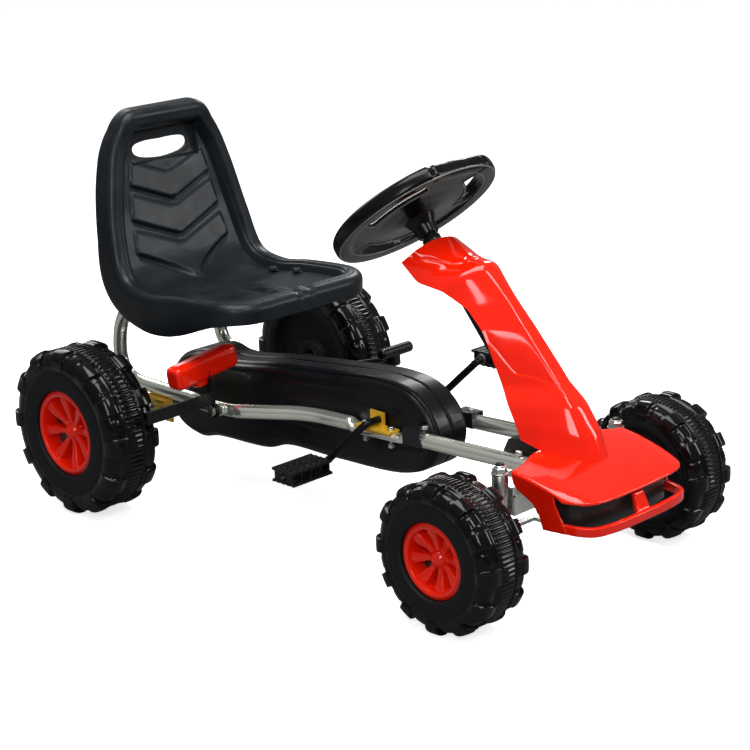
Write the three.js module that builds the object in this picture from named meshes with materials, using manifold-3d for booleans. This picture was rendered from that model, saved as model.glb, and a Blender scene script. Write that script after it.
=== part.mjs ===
// A child's pedal go kart: tube frame, four blow-moulded wheels, chain drive, steering, two levers.
// Units are millimetres. The front is -Y, up is +Z and the driver's right is -X.
// The origin is on the ground, under the middle of the kart.
import * as THREE from "three";
import { mergeVertices } from "three/addons/utils/BufferGeometryUtils.js";
import Module from "manifold-3d";

const wasm = await Module();
wasm.setup();

// ---------------------------------------------------------------- driving dimensions

const GAP = 0.3; // clearance between touching pieces
const REAR_AXLE = { y: 375, z: 130 };
const FRONT_AXLE = { y: -355, z: 104 };
const REAR_WHEEL = { radius: 130, width: 95, bead: 65, x: 254 };
const FRONT_WHEEL = { radius: 104, width: 90, bead: 51.5, x: 219 };
const LUG = { count: 12, outer: 10, inner: 27 }; // shoulder lugs, with their span from the sidewall
const AXLE_RADIUS = 7;

const TUBE_RADIUS = 11;
const RAIL = { x: 54, frontY: -358, rearY: 244, frontZ: 178, rearZ: 154, bendY: 86 };
const RAIL_DENT = { frontY: -116, rearY: -12, drop: 5, wide: 1.12, high: 0.55 }; // lets the crank pass
const SEAT_TUBE = { x: 105, z: 154, frontY: 210, rearY: 476, topZ: 262 };
const TONGUE = { thick: 5, high: 20 }; // flattened tube ends at the side joints
const PIVOT = { y: 238, z: 148 }; // side joints, which also carry both levers

const KINGPIN = { x: 122, z: 150, sleeve: 72, radius: 11, bolt: 6 };
const BEAM = { z: 140, high: 26, deep: 30 };
const COLUMN = { y: -92, z: 487, rake: 50.6, radius: 9, length: 478 };
const STEER_ARM = 40; // both the column arm and the knuckle arms
const TIE_ROD = { z: 82, thick: 5, slack: 1.1 };
const KNUCKLE = { bottomZ: 97, armZ: 100, pinZ: 88 };
const WHEEL_RIM = { radius: 127, tube: 12 };

const CRANK = { y: -56, z: 179.5, radius: 97, angle: 45, rod: 5.5, knee: 75, spindle: 92 };
const PEDAL = { width: 78, length: 46, thick: 22, x: 140 };
const CHAINRING_RADIUS = 46;
const SPROCKET_RADIUS = 31;
const CASE_HALF_WIDTH = 41;

// ---------------------------------------------------------------- materials

const material = (color, roughness, metalness = 0) =>
  new THREE.MeshStandardMaterial({ color, roughness, metalness });
const RED = material("#f5301c", 0.28);
const BLACK = material("#16181a", 0.4);
const SEAT_BLACK = material("#1c2024", 0.5);
const TYRE_BLACK = material("#0d0e0f", 0.3);
const STEEL = material("#c9cfc4", 0.3, 0.9);
const DARK_STEEL = material("#1a1b1c", 0.45, 0.6);
const YELLOW_ZINC = material("#dcb42a", 0.4, 0.8);

// ---------------------------------------------------------------- solids

const deg = THREE.MathUtils.degToRad;
const V = (x, y, z) => new THREE.Vector3(x, y, z);
const mix = THREE.MathUtils.lerp;
const ease = (x, from, to) => THREE.MathUtils.smoothstep(x, from, to);

// A closed three.js geometry as a manifold solid.
function solid(geometry) {
  const bare = new THREE.BufferGeometry();
  bare.setAttribute("position", geometry.getAttribute("position"));
  bare.setIndex(geometry.index);
  const merged = mergeVertices(bare, 1e-3);
  const triVerts = new Uint32Array(merged.index.array);
  return new wasm.Manifold(
    new wasm.Mesh({ numProp: 3, vertProperties: merged.attributes.position.array, triVerts }),
  );
}

// A manifold solid as a three.js geometry.
function geometryOf(manifold) {
  const made = manifold.getMesh();
  const geometry = new THREE.BufferGeometry();
  geometry.setAttribute("position", new THREE.BufferAttribute(made.vertProperties, 3));
  geometry.setIndex(new THREE.BufferAttribute(made.triVerts, 1));
  geometry.computeVertexNormals();
  return geometry;
}

const join = (first, ...others) =>
  geometryOf(others.reduce((sum, piece) => sum.add(solid(piece)), solid(first)));
const cut = (body, ...tools) =>
  geometryOf(tools.reduce((rest, tool) => rest.subtract(solid(tool)), solid(body)));

// Triangles through a list of points, turned to face outwards.
function facing(points, triangles) {
  let volume = 0;
  for (const [a, b, c] of triangles)
    volume += points[a].dot(new THREE.Vector3().crossVectors(points[b], points[c]));
  const index = triangles.flatMap(([a, b, c]) => (volume < 0 ? [a, c, b] : [a, b, c]));
  const geometry = new THREE.BufferGeometry().setFromPoints(points);
  geometry.setIndex(index);
  geometry.computeVertexNormals();
  return geometry;
}

// A body through a row of closed rings; the ends get flat caps unless the row closes on itself.
function loft(rings, closed = false) {
  const size = rings[0].length;
  const points = rings.flat();
  const triangles = [];
  const last = closed ? rings.length : rings.length - 1;
  for (let i = 0; i < last; i++)
    for (let j = 0; j < size; j++) {
      const k = (j + 1) % size;
      const next = ((i + 1) % rings.length) * size;
      triangles.push([i * size + j, i * size + k, next + k]);
      triangles.push([i * size + j, next + k, next + j]);
    }
  if (!closed)
    for (const [start, flip] of [[0, true], [points.length - size, false]]) {
      const centre = points.slice(start, start + size).reduce((sum, p) => sum.add(p), V(0, 0, 0));
      points.push(centre.divideScalar(size));
      for (let j = 0; j < size; j++) {
        const a = start + j;
        const b = start + ((j + 1) % size);
        triangles.push(flip ? [b, a, points.length - 1] : [a, b, points.length - 1]);
      }
    }
  return facing(points, triangles);
}

// A thin wall between two grids of points that match, closed along all four edges.
function shell(outer, inner) {
  const rows = outer.length;
  const columns = outer[0].length;
  const points = [...outer.flat(), ...inner.flat()];
  const at = (i, j, side) => side * rows * columns + i * columns + j;
  const triangles = [];
  const quad = (a, b, c, d) => triangles.push([a, b, c], [a, c, d]);
  for (let i = 0; i + 1 < rows; i++)
    for (let j = 0; j + 1 < columns; j++) {
      quad(at(i, j, 0), at(i + 1, j, 0), at(i + 1, j + 1, 0), at(i, j + 1, 0));
      quad(at(i, j, 1), at(i, j + 1, 1), at(i + 1, j + 1, 1), at(i + 1, j, 1));
    }
  for (let i = 0; i + 1 < rows; i++) {
    quad(at(i, 0, 0), at(i, 0, 1), at(i + 1, 0, 1), at(i + 1, 0, 0));
    const j = columns - 1;
    quad(at(i, j, 0), at(i + 1, j, 0), at(i + 1, j, 1), at(i, j, 1));
  }
  for (let j = 0; j + 1 < columns; j++) {
    quad(at(0, j, 0), at(0, j + 1, 0), at(0, j + 1, 1), at(0, j, 1));
    const i = rows - 1;
    quad(at(i, j, 0), at(i, j, 1), at(i, j + 1, 1), at(i, j + 1, 0));
  }
  return facing(points, triangles);
}

const box = (x, y, z, at = [0, 0, 0]) => new THREE.BoxGeometry(x, y, z).translate(...at);

// A round bar along X, Y or Z.
function bar(radius, length, axis, at = [0, 0, 0], segments = 16) {
  const made = new THREE.CylinderGeometry(radius, radius, length, segments);
  if (axis === "x") made.rotateZ(Math.PI / 2);
  if (axis === "z") made.rotateX(Math.PI / 2);
  return made.translate(...at);
}

// A solid of revolution about X from [x, radius] points.
function turned(profile, segments, x = 0) {
  const points = profile.map(([along, radius]) => new THREE.Vector2(radius, along));
  const made = new THREE.LatheGeometry(points, segments);
  made.rotateZ(-Math.PI / 2);
  const volume = solid(made).volume();
  if (volume < 0) {
    const order = made.index.array;
    for (let i = 0; i < order.length; i += 3) [order[i], order[i + 1]] = [order[i + 1], order[i]];
  }
  return made.translate(x, 0, 0);
}

// Points along straight runs with a round bend at each inner corner.
function bentPath(corners, bend, steps = 5) {
  const path = [corners[0]];
  for (let i = 1; i + 1 < corners.length; i++) {
    const back = corners[i - 1].clone().sub(corners[i]);
    const ahead = corners[i + 1].clone().sub(corners[i]);
    const reach = Math.min(bend, back.length() * 0.49, ahead.length() * 0.49);
    const from = corners[i].clone().add(back.setLength(reach));
    const to = corners[i].clone().add(ahead.setLength(reach));
    const curve = new THREE.QuadraticBezierCurve3(from, corners[i], to);
    path.push(...curve.getPoints(steps));
  }
  path.push(corners[corners.length - 1]);
  return path;
}

// A tube through a path; size(point) gives its half width, half height and a drop of its centre.
function tube(path, radius, segments = 12, size = () => [1, 1, 0]) {
  let side = V(1, 0, 0);
  const rings = path.map((point, i) => {
    const before = path[Math.max(i - 1, 0)];
    const after = path[Math.min(i + 1, path.length - 1)];
    const tangent = after.clone().sub(before).normalize();
    side = side.clone().addScaledVector(tangent, -side.dot(tangent));
    if (side.length() < 1e-3) side = V(0, 1, 0).addScaledVector(tangent, -tangent.y);
    side.normalize();
    const up = new THREE.Vector3().crossVectors(tangent, side);
    const [wide, high, drop] = size(point);
    return Array.from({ length: segments }, (_, j) => {
      const angle = ((j + 0.5) * 2 * Math.PI) / segments;
      return point
        .clone()
        .addScaledVector(side, radius * wide * Math.cos(angle))
        .addScaledVector(up, radius * high * Math.sin(angle))
        .add(V(0, 0, -drop));
    });
  });
  return loft(rings);
}

const kart = new THREE.Group();
function add(name, geometry, look, parent = kart) {
  const mesh = new THREE.Mesh(geometry, look);
  mesh.name = name;
  parent.add(mesh);
  return mesh;
}

const SIDES = [
  { name: "right", sign: -1 },
  { name: "left", sign: 1 },
];

// ---------------------------------------------------------------- frame

// A main rail: straight under the nose and past the crank, then out to the side joint.
function mainRail(sign) {
  const slope = (RAIL.frontZ - RAIL.rearZ) / (RAIL.rearY - RAIL.frontY);
  const height = (y) => RAIL.frontZ - (y - RAIL.frontY) * slope;
  const tongueX = SEAT_TUBE.x - TONGUE.thick / 2 - GAP / 2;
  const corners = [
    V(sign * RAIL.x, RAIL.frontY, height(RAIL.frontY)),
    V(sign * RAIL.x, RAIL.bendY, height(RAIL.bendY)),
    V(sign * (tongueX - 8), 200, height(200)),
  ];
  const path = bentPath(corners, 40, 4);
  const dent = [];
  for (const end of [RAIL_DENT.frontY, RAIL_DENT.rearY])
    for (const y of [end - 8, end + 8]) dent.push(V(sign * RAIL.x, y, height(y)));
  path.splice(1, 0, ...dent);
  const squash = (point) => {
    const pressed = point.y > RAIL_DENT.frontY && point.y < RAIL_DENT.rearY;
    return pressed ? [RAIL_DENT.wide, RAIL_DENT.high, RAIL_DENT.drop] : [1, 1, 0];
  };
  const round = tube(path, TUBE_RADIUS, 10, squash);
  const flat = [
    [200, TUBE_RADIUS * 0.8, TUBE_RADIUS],
    [216, TONGUE.thick / 2, TONGUE.high / 2],
    [RAIL.rearY + 8, TONGUE.thick / 2, TONGUE.high / 2],
  ];
  const rings = flat.map(([y, wide, high], i) => {
    const x = sign * (i ? tongueX : tongueX - 8);
    return rectangle(x, y, i ? PIVOT.z + 2 : height(y), wide, high);
  });
  const joined = join(round, loft(rings));
  return cut(joined, pivotHole(sign), frontBoltHole(sign), ...crankPlateHoles(sign));
}

// A plate from a side outline of [y, z] points, between two distances from the middle plane.
function sidePlate(outline, fromX, toX) {
  const shape = new THREE.Shape(outline.map(([y, z]) => new THREE.Vector2(y, z)));
  const made = new THREE.ExtrudeGeometry(shape, { depth: toX - fromX, bevelEnabled: false });
  return made.rotateX(Math.PI / 2).rotateZ(Math.PI / 2).translate(fromX, 0, 0);
}

// A ring of eight points: a rectangle with clipped corners in the XZ plane.
function rectangle(x, y, z, wide, high) {
  const corner = Math.min(wide, high) * 0.4;
  const outline = [
    [wide, high - corner],
    [wide - corner, high],
    [corner - wide, high],
    [-wide, high - corner],
    [-wide, corner - high],
    [corner - wide, -high],
    [wide - corner, -high],
    [wide, corner - high],
  ];
  return outline.map(([dx, dz]) => V(x + dx, y, z + dz));
}

const PIVOT_BOLT_RADIUS = 4;
const pivotHole = (sign) =>
  bar(PIVOT_BOLT_RADIUS + GAP, 60, "x", [sign * SEAT_TUBE.x, PIVOT.y, PIVOT.z], 12);

const FRONT_BOLT = { y: -330, radius: 3 };
const frontBoltHole = (sign) =>
  bar(FRONT_BOLT.radius + GAP, 60, "z", [sign * RAIL.x, FRONT_BOLT.y, RAIL.frontZ], 12);

const CRANK_PLATE = { halfLength: 30, thick: 3, footZ: 168.7, topZ: 191, boltOffset: 26, boltRadius: 3 };
const crankPlateHoles = (sign) =>
  [-1, 1].map((end) =>
    bar(
      CRANK_PLATE.boltRadius + GAP,
      60,
      "z",
      [sign * RAIL.x, CRANK.y - 4 + end * CRANK_PLATE.boltOffset, CRANK.z],
      10,
    ),
  );

// A seat tube: from the side joint back over the axle, up, and forward again under the seat.
function seatTube(sign) {
  const x = sign * SEAT_TUBE.x;
  const corners = [
    V(x, 282, SEAT_TUBE.z),
    V(x, SEAT_TUBE.rearY + 4, SEAT_TUBE.z + 2),
    V(x, SEAT_TUBE.rearY - 14, SEAT_TUBE.topZ + 20),
    V(x, SEAT_RUN.frontY, seatRunHeight(SEAT_RUN.frontY)),
  ];
  const round = tube(bentPath(corners, 62, 6), TUBE_RADIUS, 10);
  const tongueX = sign * (SEAT_TUBE.x + TONGUE.thick / 2 + GAP / 2);
  const flat = [
    [286, TUBE_RADIUS * 0.8, TUBE_RADIUS * 0.9, x, SEAT_TUBE.z],
    [266, TONGUE.thick / 2, TONGUE.high / 2, tongueX, PIVOT.z + 2],
    [222, TONGUE.thick / 2, TONGUE.high / 2, tongueX, PIVOT.z + 2],
  ];
  const rings = flat.map(([y, wide, high, atX, z]) => rectangle(atX, y, z, wide, high));
  return cut(join(round, loft(rings)), pivotHole(sign), ...seatBoltHoles(sign));
}

const SEAT_RUN = { frontY: 200, slope: 0.06, z: 297.5, atY: 300 };
const seatRunHeight = (y) => SEAT_RUN.z - (y - SEAT_RUN.atY) * SEAT_RUN.slope;
const SEAT_BOLT = { rearY: 330, frontY: 275, radius: 3 };
const seatBoltHoles = (sign) =>
  [SEAT_BOLT.rearY, SEAT_BOLT.frontY].map((y) =>
    bar(SEAT_BOLT.radius + GAP, 80, "z", [sign * SEAT_TUBE.x, y, seatRunHeight(y)], 10),
  );

for (const { name, sign } of SIDES) {
  add("main_rail_" + name, mainRail(sign), STEEL);
  add("seat_tube_" + name, seatTube(sign), STEEL);
}

const hexagon = (across, high, z) =>
  new THREE.CylinderGeometry(across / Math.sqrt(3), across / Math.sqrt(3), high, 6)
    .rotateX(Math.PI / 2)
    .translate(0, 0, z);

// A steel bolt down from z = 0, its hexagon head above and a nut at its far end.
const bolt = (radius, length, head) =>
  join(
    bar(radius, length, "z", [0, 0, -length / 2], 8),
    hexagon(head, 4, 2),
    hexagon(head, 4, 3 - length),
  );

const BRACKET = { z: 163, thick: 3, halfWidth: 72, rearY: -318, frontY: -372 };

// The beam between the kingpins, with the plate that the rails are bolted to.
function frontBeam() {
  const half = KINGPIN.x - KINGPIN.radius - GAP;
  const beam = box(2 * half, BEAM.deep, BEAM.high, [0, FRONT_AXLE.y, BEAM.z]);
  const middle = (BRACKET.rearY + BRACKET.frontY) / 2;
  const deep = BRACKET.rearY - BRACKET.frontY;
  const plate = box(2 * BRACKET.halfWidth, deep, BRACKET.thick, [0, middle, BRACKET.z]);
  const web = box(80, 20, BRACKET.z - BEAM.z, [0, FRONT_AXLE.y, (BRACKET.z + BEAM.z) / 2]);
  const ears = SIDES.map(({ sign }) => box(6, 24, 20, [sign * (half - 3), FRONT_AXLE.y, BEAM.z + 16]));
  const holes = SIDES.map(({ sign }) => frontBoltHole(sign));
  return cut(join(beam, plate, web, ...ears), columnHole(2.5), ...holes);
}

const rake = deg(COLUMN.rake);

// A round bar along the steering axis, between two distances from the steering wheel's centre.
function onColumn(radius, from, to, segments = 16) {
  const made = bar(radius, Math.abs(to - from), "y", [0, (from + to) / 2, 0], segments);
  return made.rotateX(rake).translate(0, COLUMN.y, COLUMN.z);
}
const columnHole = (clearance) => onColumn(COLUMN.radius + clearance, -200, -COLUMN.length - 60);

add("front_beam", frontBeam(), STEEL);
for (const { name, sign } of SIDES) {
  const tall = RAIL.frontZ + TUBE_RADIUS - BRACKET.z + 8;
  const place = [sign * RAIL.x, FRONT_BOLT.y, RAIL.frontZ + TUBE_RADIUS + GAP];
  add("rail_front_bolt_" + name, bolt(FRONT_BOLT.radius, tall, 10).translate(...place), STEEL);

  const sleeve = bar(KINGPIN.radius, KINGPIN.sleeve, "z", [0, 0, 0], 16);
  const bored = cut(sleeve, bar(KINGPIN.bolt + GAP, KINGPIN.sleeve + 2, "z"));
  bored.translate(sign * KINGPIN.x, FRONT_AXLE.y, KINGPIN.z);
  add("kingpin_sleeve_" + name, bored, STEEL);
}

// Yellow zinc plates that hold the rear axle, bolted up under the seat tubes.
function axlePlate(sign) {
  const x = sign * SEAT_TUBE.x;
  const top = SEAT_TUBE.z - TUBE_RADIUS - GAP;
  const bottom = REAR_AXLE.z - 26;
  const plate = box(4, 52, top - bottom, [x, REAR_AXLE.y, (top + bottom) / 2]);
  const flange = box(24, 52, 3, [x, REAR_AXLE.y, top - 1.5]);
  return cut(join(plate, flange), bar(AXLE_RADIUS + GAP, 20, "x", [x, REAR_AXLE.y, REAR_AXLE.z]));
}

// Yellow zinc angle plates on the rails' dents, with the crank through their upright legs.
function crankPlate(sign) {
  const { thick, footZ, topZ, halfLength } = CRANK_PLATE;
  const foot = box(24, 2 * halfLength + 8, thick, [sign * 57, CRANK.y - 4, footZ + thick / 2]);
  const leg = box(thick, 28, topZ - footZ, [sign * 46.5, CRANK.y + 4, (topZ + footZ) / 2]);
  const crankHole = bar(CRANK.rod + GAP, 20, "x", [sign * 46.5, CRANK.y, CRANK.z], 12);
  return cut(join(foot, leg), crankHole, ...crankPlateHoles(sign));
}

// ---------------------------------------------------------------- wheels

const TREAD_STATIONS = 3 * LUG.count; // two on each lug and one in each groove
const lugTop = (radius) => radius / Math.cos(Math.PI / TREAD_STATIONS);

// A blow-moulded tyre about X, outboard side at +x: shoulder lugs, ribbed middle, deep rim recess.
function tyre({ radius, width, bead }) {
  const half = width / 2;
  const top = lugTop(radius);
  const seat = bead + 1;
  const profile = (shoulder) => [
    [half - 5, seat + 3],
    [half, radius - 26],
    [half - LUG.outer, shoulder],
    [half - LUG.inner, shoulder],
    [half - LUG.inner - 2, radius - 5],
    [LUG.inner + 2 - half, radius - 5],
    [LUG.inner - half, shoulder],
    [LUG.outer - half, shoulder],
    [-half, radius - 26],
    [20 - half, 20],
    [-10, 20],
    [-10, seat],
  ];
  const rings = Array.from({ length: TREAD_STATIONS }, (_, k) => {
    const angle = ((k + 0.5) * 2 * Math.PI) / TREAD_STATIONS - Math.PI / 2;
    return profile(k % 3 === 1 ? radius - 9 : top).map(([x, r]) =>
      V(x, r * Math.cos(angle), r * Math.sin(angle)),
    );
  });
  return loft(rings, true);
}

// The hub moulding: a flush outer ring, a deep dish with spokes and a bore for the axle.
function hub({ width, bead }) {
  const face = width / 2 - 7;
  const profile = [
    [-9.6, AXLE_RADIUS + GAP],
    [face - 20, AXLE_RADIUS + GAP],
    [face - 20, 15],
    [face - 32, 18],
    [face - 30, bead - 9],
    [face - 1, bead - 6],
    [face + 1, bead - 2.5],
    [face - 2, bead + 0.6],
    [-9.6, bead + 0.6],
    [-9.6, AXLE_RADIUS + GAP],
  ];
  const dish = turned(profile, 20);
  const spokes = Array.from({ length: 8 }, (_, i) =>
    box(20, bead - 24, 5, [face - 24, (bead + 8) / 2, 0]).rotateX((i * Math.PI) / 4 + 0.2),
  );
  return join(dish, ...spokes);
}

// The domed cap over the axle end.
const hubCap = ({ width }) => {
  const base = width / 2 - 7 - 20 + GAP;
  const dome = [[base, 0], [base, 15], [base + 5, 14.5], [base + 11, 11], [base + 15, 5], [base + 16, 0]];
  return cut(turned(dome, 16), bar(AXLE_RADIUS + GAP, 16, "x", [base, 0, 0], 12));
};

// Tyre, hub and cap of one wheel; the outboard side is turned to the side of the kart.
function wheel(place, name, sign, size, axle) {
  const group = new THREE.Group();
  group.position.set(sign * size.x, axle.y, axle.z);
  if (sign < 0) group.rotation.z = Math.PI;
  add("tyre_" + place + "_" + name, tyre(size), TYRE_BLACK, group);
  add("hub_" + place + "_" + name, hub(size), RED, group);
  add("hub_cap_" + place + "_" + name, hubCap(size), RED, group);
  kart.add(group);
}

// Both axles end inside the hub caps.
const axleEnd = (size) => size.x + size.width / 2 - 21;

// ---------------------------------------------------------------- steering

// The bolt, stub axle and arm that turn with one front wheel.
function knuckle(sign) {
  const { x, z, sleeve, bolt: radius } = KINGPIN;
  const { bottomZ, armZ, pinZ } = KNUCKLE;
  const top = z + sleeve / 2 + 3;
  const pin = bar(radius, top - bottomZ, "z", [sign * x, FRONT_AXLE.y, (top + bottomZ) / 2], 12);
  const from = x - 9;
  const to = axleEnd(FRONT_WHEEL);
  const place = [sign * ((from + to) / 2), FRONT_AXLE.y, FRONT_AXLE.z];
  const stub = bar(AXLE_RADIUS, to - from, "x", place, 12);
  const armY = FRONT_AXLE.y + STEER_ARM / 2;
  const arm = box(16, STEER_ARM + 16, 6, [sign * x, armY, armZ]);
  const drop = bar(3, 24, "z", [sign * x, FRONT_AXLE.y + STEER_ARM, pinZ], 8);
  return join(pin, stub, arm, drop);
}

// The tie rod: a flat bar with a slot at each knuckle and a fork for the column's arm.
function tieRod() {
  const { z, thick, slack } = TIE_ROD;
  const y = FRONT_AXLE.y + STEER_ARM;
  const rod = box(2 * KINGPIN.x, 12, thick, [0, y, z]);
  const eyes = SIDES.map(({ sign }) => box(20, 24, thick, [sign * KINGPIN.x, y - 2, z]));
  const lug = box(30, 76, thick, [0, y - 35, z]);
  const fork = box(8 + 2 * slack, 40, 20, [0, y - 60, z]);
  const slots = SIDES.map(({ sign }) => box(6 + 2 * slack, 14, 20, [sign * KINGPIN.x, y - 2.5, z]));
  return cut(join(rod, ...eyes, lug), fork, ...slots);
}

// The column, its arm at the foot and the pin that moves the tie rod.
function column() {
  const foot = -COLUMN.length;
  const shaft = onColumn(COLUMN.radius, -22, foot - 6, 16);
  const arm = box(14, 6, STEER_ARM + 8, [0, foot - 3, -STEER_ARM / 2]);
  const pin = bar(4, 22, "y", [0, foot - 12, -STEER_ARM], 10);
  const turnedArm = join(arm, pin).rotateX(rake).translate(0, COLUMN.y, COLUMN.z);
  return join(shaft, turnedArm);
}

// The steering wheel about +Z: rim, three broad dished spokes and a boss for the column.
function steeringWheel() {
  const { radius, tube: thick } = WHEEL_RIM;
  const rim = new THREE.TorusGeometry(radius - thick, thick, 8, 28);
  const boss = new THREE.CylinderGeometry(34, 15, 44, 20).rotateX(Math.PI / 2).translate(0, 0, -24);
  const spokes = [0, 1, 2].map((i) => {
    const inner = 20;
    const outer = radius - thick - 2;
    const spoke = box(64, outer - inner, 8, [0, (inner + outer) / 2, 0]);
    return spoke.rotateX(deg(4)).translate(0, 0, -8).rotateZ(Math.PI + (i * 2 * Math.PI) / 3);
  });
  const bore = bar(COLUMN.radius + GAP, 46, "z", [0, 0, -36], 16);
  return cut(join(rim, boss, ...spokes), bore);
}

const wheelTilt = rake - Math.PI / 2;
const onWheel = (geometry) => geometry.rotateX(wheelTilt).translate(0, COLUMN.y, COLUMN.z);

// ---------------------------------------------------------------- drive

// The one-piece crank: both spindles, both arms and the shaft through the chain case.
function crank() {
  const { y, z, radius, angle, rod, knee, spindle } = CRANK;
  const back = radius * Math.cos(deg(angle));
  const down = radius * Math.sin(deg(angle));
  const end = PEDAL.x + PEDAL.width / 2 - 8;
  const half = (sign) => [
    V(sign * end, y - sign * back, z + sign * down),
    V(sign * spindle, y - sign * back, z + sign * down),
    V(sign * knee, y, z),
  ];
  return tube(bentPath([...half(-1), ...half(1).reverse()], 8, 3), rod, 8);
}

// A toothed wheel about X, as a plain disc at the chain's pitch line with a bore.
const sprocket = (radius, bore, y, z) =>
  cut(bar(radius, 4, "x", [0, y, z], 28), bar(bore + GAP, 10, "x", [0, y, z], 12));

// The chain as one closed band around both sprockets.
function chain() {
  const band = (thick) => {
    const shape = new THREE.Shape();
    const rise = Math.atan2(CRANK.z - REAR_AXLE.z, REAR_AXLE.y - CRANK.y);
    const apart = Math.hypot(CRANK.z - REAR_AXLE.z, REAR_AXLE.y - CRANK.y);
    const front = CHAINRING_RADIUS + 1 + thick;
    const rear = SPROCKET_RADIUS + 1 + thick;
    const wrap = Math.asin((front - rear) / apart);
    shape.absarc(CRANK.y, CRANK.z, front, Math.PI / 2 - rise - wrap, 1.5 * Math.PI - rise + wrap);
    shape.absarc(REAR_AXLE.y, REAR_AXLE.z, rear, -Math.PI / 2 - rise + wrap, Math.PI / 2 - rise - wrap);
    const made = new THREE.ExtrudeGeometry(shape, { depth: 8, bevelEnabled: false, curveSegments: 10 });
    return made.rotateX(Math.PI / 2).rotateZ(Math.PI / 2).translate(-4, 0, 0);
  };
  return cut(band(5), band(0));
}

// A pedal about its spindle along X: two ribbed treads on a web.
function pedal() {
  const { width, length, thick } = PEDAL;
  const tread = (side) => box(width, length, 6, [0, 0, side * (thick / 2 - 3)]);
  const web = box(width - 8, length - 18, thick - 4);
  return cut(join(tread(1), tread(-1), web), bar(CRANK.rod + GAP, width + 4, "x", [0, 0, 0], 12));
}

// Side outline of the chain case as [y, z] points around both sprockets.
const CASE_OUTLINE = [
  [440, 126],
  [434, 156],
  [403, 190],
  [343, 208],
  [300, 201],
  [186, 215],
  [67, 227],
  [-55, 236],
  [-108, 227],
  [-145, 198],
  [-157, 163],
  [-140, 122],
  [-90, 99],
  [51, 89],
  [165, 86],
  [210, 72],
  [330, 65],
  [372, 57],
  [422, 76],
];

// One ring of a case half: the outline pulled in by an inset, at a distance from the middle.
function caseRing(x, inset) {
  const corners = CASE_OUTLINE.map(([y, z]) => V(0, y, z));
  const curve = new THREE.CatmullRomCurve3(corners, true, "centripetal");
  const count = 36;
  return Array.from({ length: count }, (_, i) => {
    const point = curve.getPointAt(i / count);
    const along = curve.getTangentAt(i / count);
    return point.add(V(x, -along.z * inset, along.y * inset));
  });
}

function caseHalf(sign) {
  const rows = (wall) => [
    caseRing(sign * (wall ? -1 : GAP / 2), wall),
    caseRing(sign * (28 - wall), wall),
    caseRing(sign * (36 - wall), 3 + wall),
    caseRing(sign * (CASE_HALF_WIDTH - wall), 11 + wall),
  ];
  const holes = [
    bar(AXLE_RADIUS + 2, 200, "x", [0, REAR_AXLE.y, REAR_AXLE.z]),
    bar(CRANK.rod + 2, 200, "x", [0, CRANK.y, CRANK.z]),
  ];
  return cut(loft(rows(0)), loft(rows(2.5)), ...holes);
}

// A saddle over a rail that holds the case, hollowed to the tube.
function caseClamp(sign) {
  const middle = { y: -138, z: 169 };
  const block = box(24.5, 34, 22, [sign * 54.7, middle.y, middle.z + 4]);
  const slope = Math.atan2(RAIL.frontZ - RAIL.rearZ, RAIL.rearY - RAIL.frontY);
  const hollow = bar(TUBE_RADIUS + GAP + 0.2, 60, "y", [0, 0, 0], 16).rotateX(-slope);
  return cut(block, hollow.translate(sign * RAIL.x, middle.y, middle.z));
}

// ---------------------------------------------------------------- levers

const LEVER_X = SEAT_TUBE.x + TONGUE.thick + GAP + 0.5 + 2;
const leverEye = (sign) => bar(12, 4, "x", [sign * LEVER_X, PIVOT.y, PIVOT.z], 16);
const BRAKE_GRIP = { x: 115, y: 256, z: 216, length: 122, tilt: 7.5 };

// The brake strap with the bar that presses on the right rear tyre.
function brakeLever(sign) {
  const strap = box(4, 18, 62, [sign * LEVER_X, PIVOT.y + 8, PIVOT.z + 31]);
  const barLength = 130;
  const press = box(barLength, 4, 20, [sign * (LEVER_X + barLength / 2 - 2), PIVOT.y, PIVOT.z + 20]);
  return cut(join(leverEye(sign), strap, press), pivotHole(sign));
}

function brakeGrip(sign) {
  const { length, tilt } = BRAKE_GRIP;
  const section = (x, wide, high, drop) =>
    rectangle(0, 0, 0, wide, high).map((p) => V(x, p.x, p.z - drop));
  const half = length / 2;
  const handle = loft([
    section(-half, 9, 11, 0),
    section(-half + 6, 14, 16, 0),
    section(half - 6, 14, 16, 0),
    section(half, 9, 11, 0),
  ]);
  const boss = box(34, 22, 18, [sign * 6, 0, -18]);
  const grip = join(handle, boss).rotateY(deg(sign * tilt));
  grip.translate(sign * BRAKE_GRIP.x, BRAKE_GRIP.y, BRAKE_GRIP.z);
  const slot = box(4 + 2 * GAP, 18 + 2 * GAP, 24, [sign * LEVER_X, PIVOT.y + 8, PIVOT.z + 62 + GAP - 12]);
  return cut(grip, slot);
}

const SHIFT_ROD_X = LEVER_X + 2.7;
const SHIFT_GRIP = { x: 118, y: 72, z: 216, length: 66 };

// The left lever: an eye at the side joint and a round rod running forward and up.
function shiftLever(sign) {
  const from = V(sign * SHIFT_ROD_X, PIVOT.y, PIVOT.z + 13);
  const to = V(sign * SHIFT_ROD_X, SHIFT_GRIP.y + 4, SHIFT_GRIP.z - 8);
  return cut(join(leverEye(sign), tube([from, to], 4.5, 8)), pivotHole(sign));
}

function shiftGrip(sign) {
  const { x, y, z, length } = SHIFT_GRIP;
  const handle = bar(9, length, "x", [sign * x, y, z + 5], 14);
  const block = box(20, 20, 22, [sign * SHIFT_ROD_X, y + 3, z - 7]);
  const from = V(sign * SHIFT_ROD_X, PIVOT.y, PIVOT.z + 13);
  const to = V(sign * SHIFT_ROD_X, y + 3.6, z - 7.6);
  return cut(join(handle, block), tube([from, to], 4.9, 8));
}

// ---------------------------------------------------------------- seat

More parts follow.
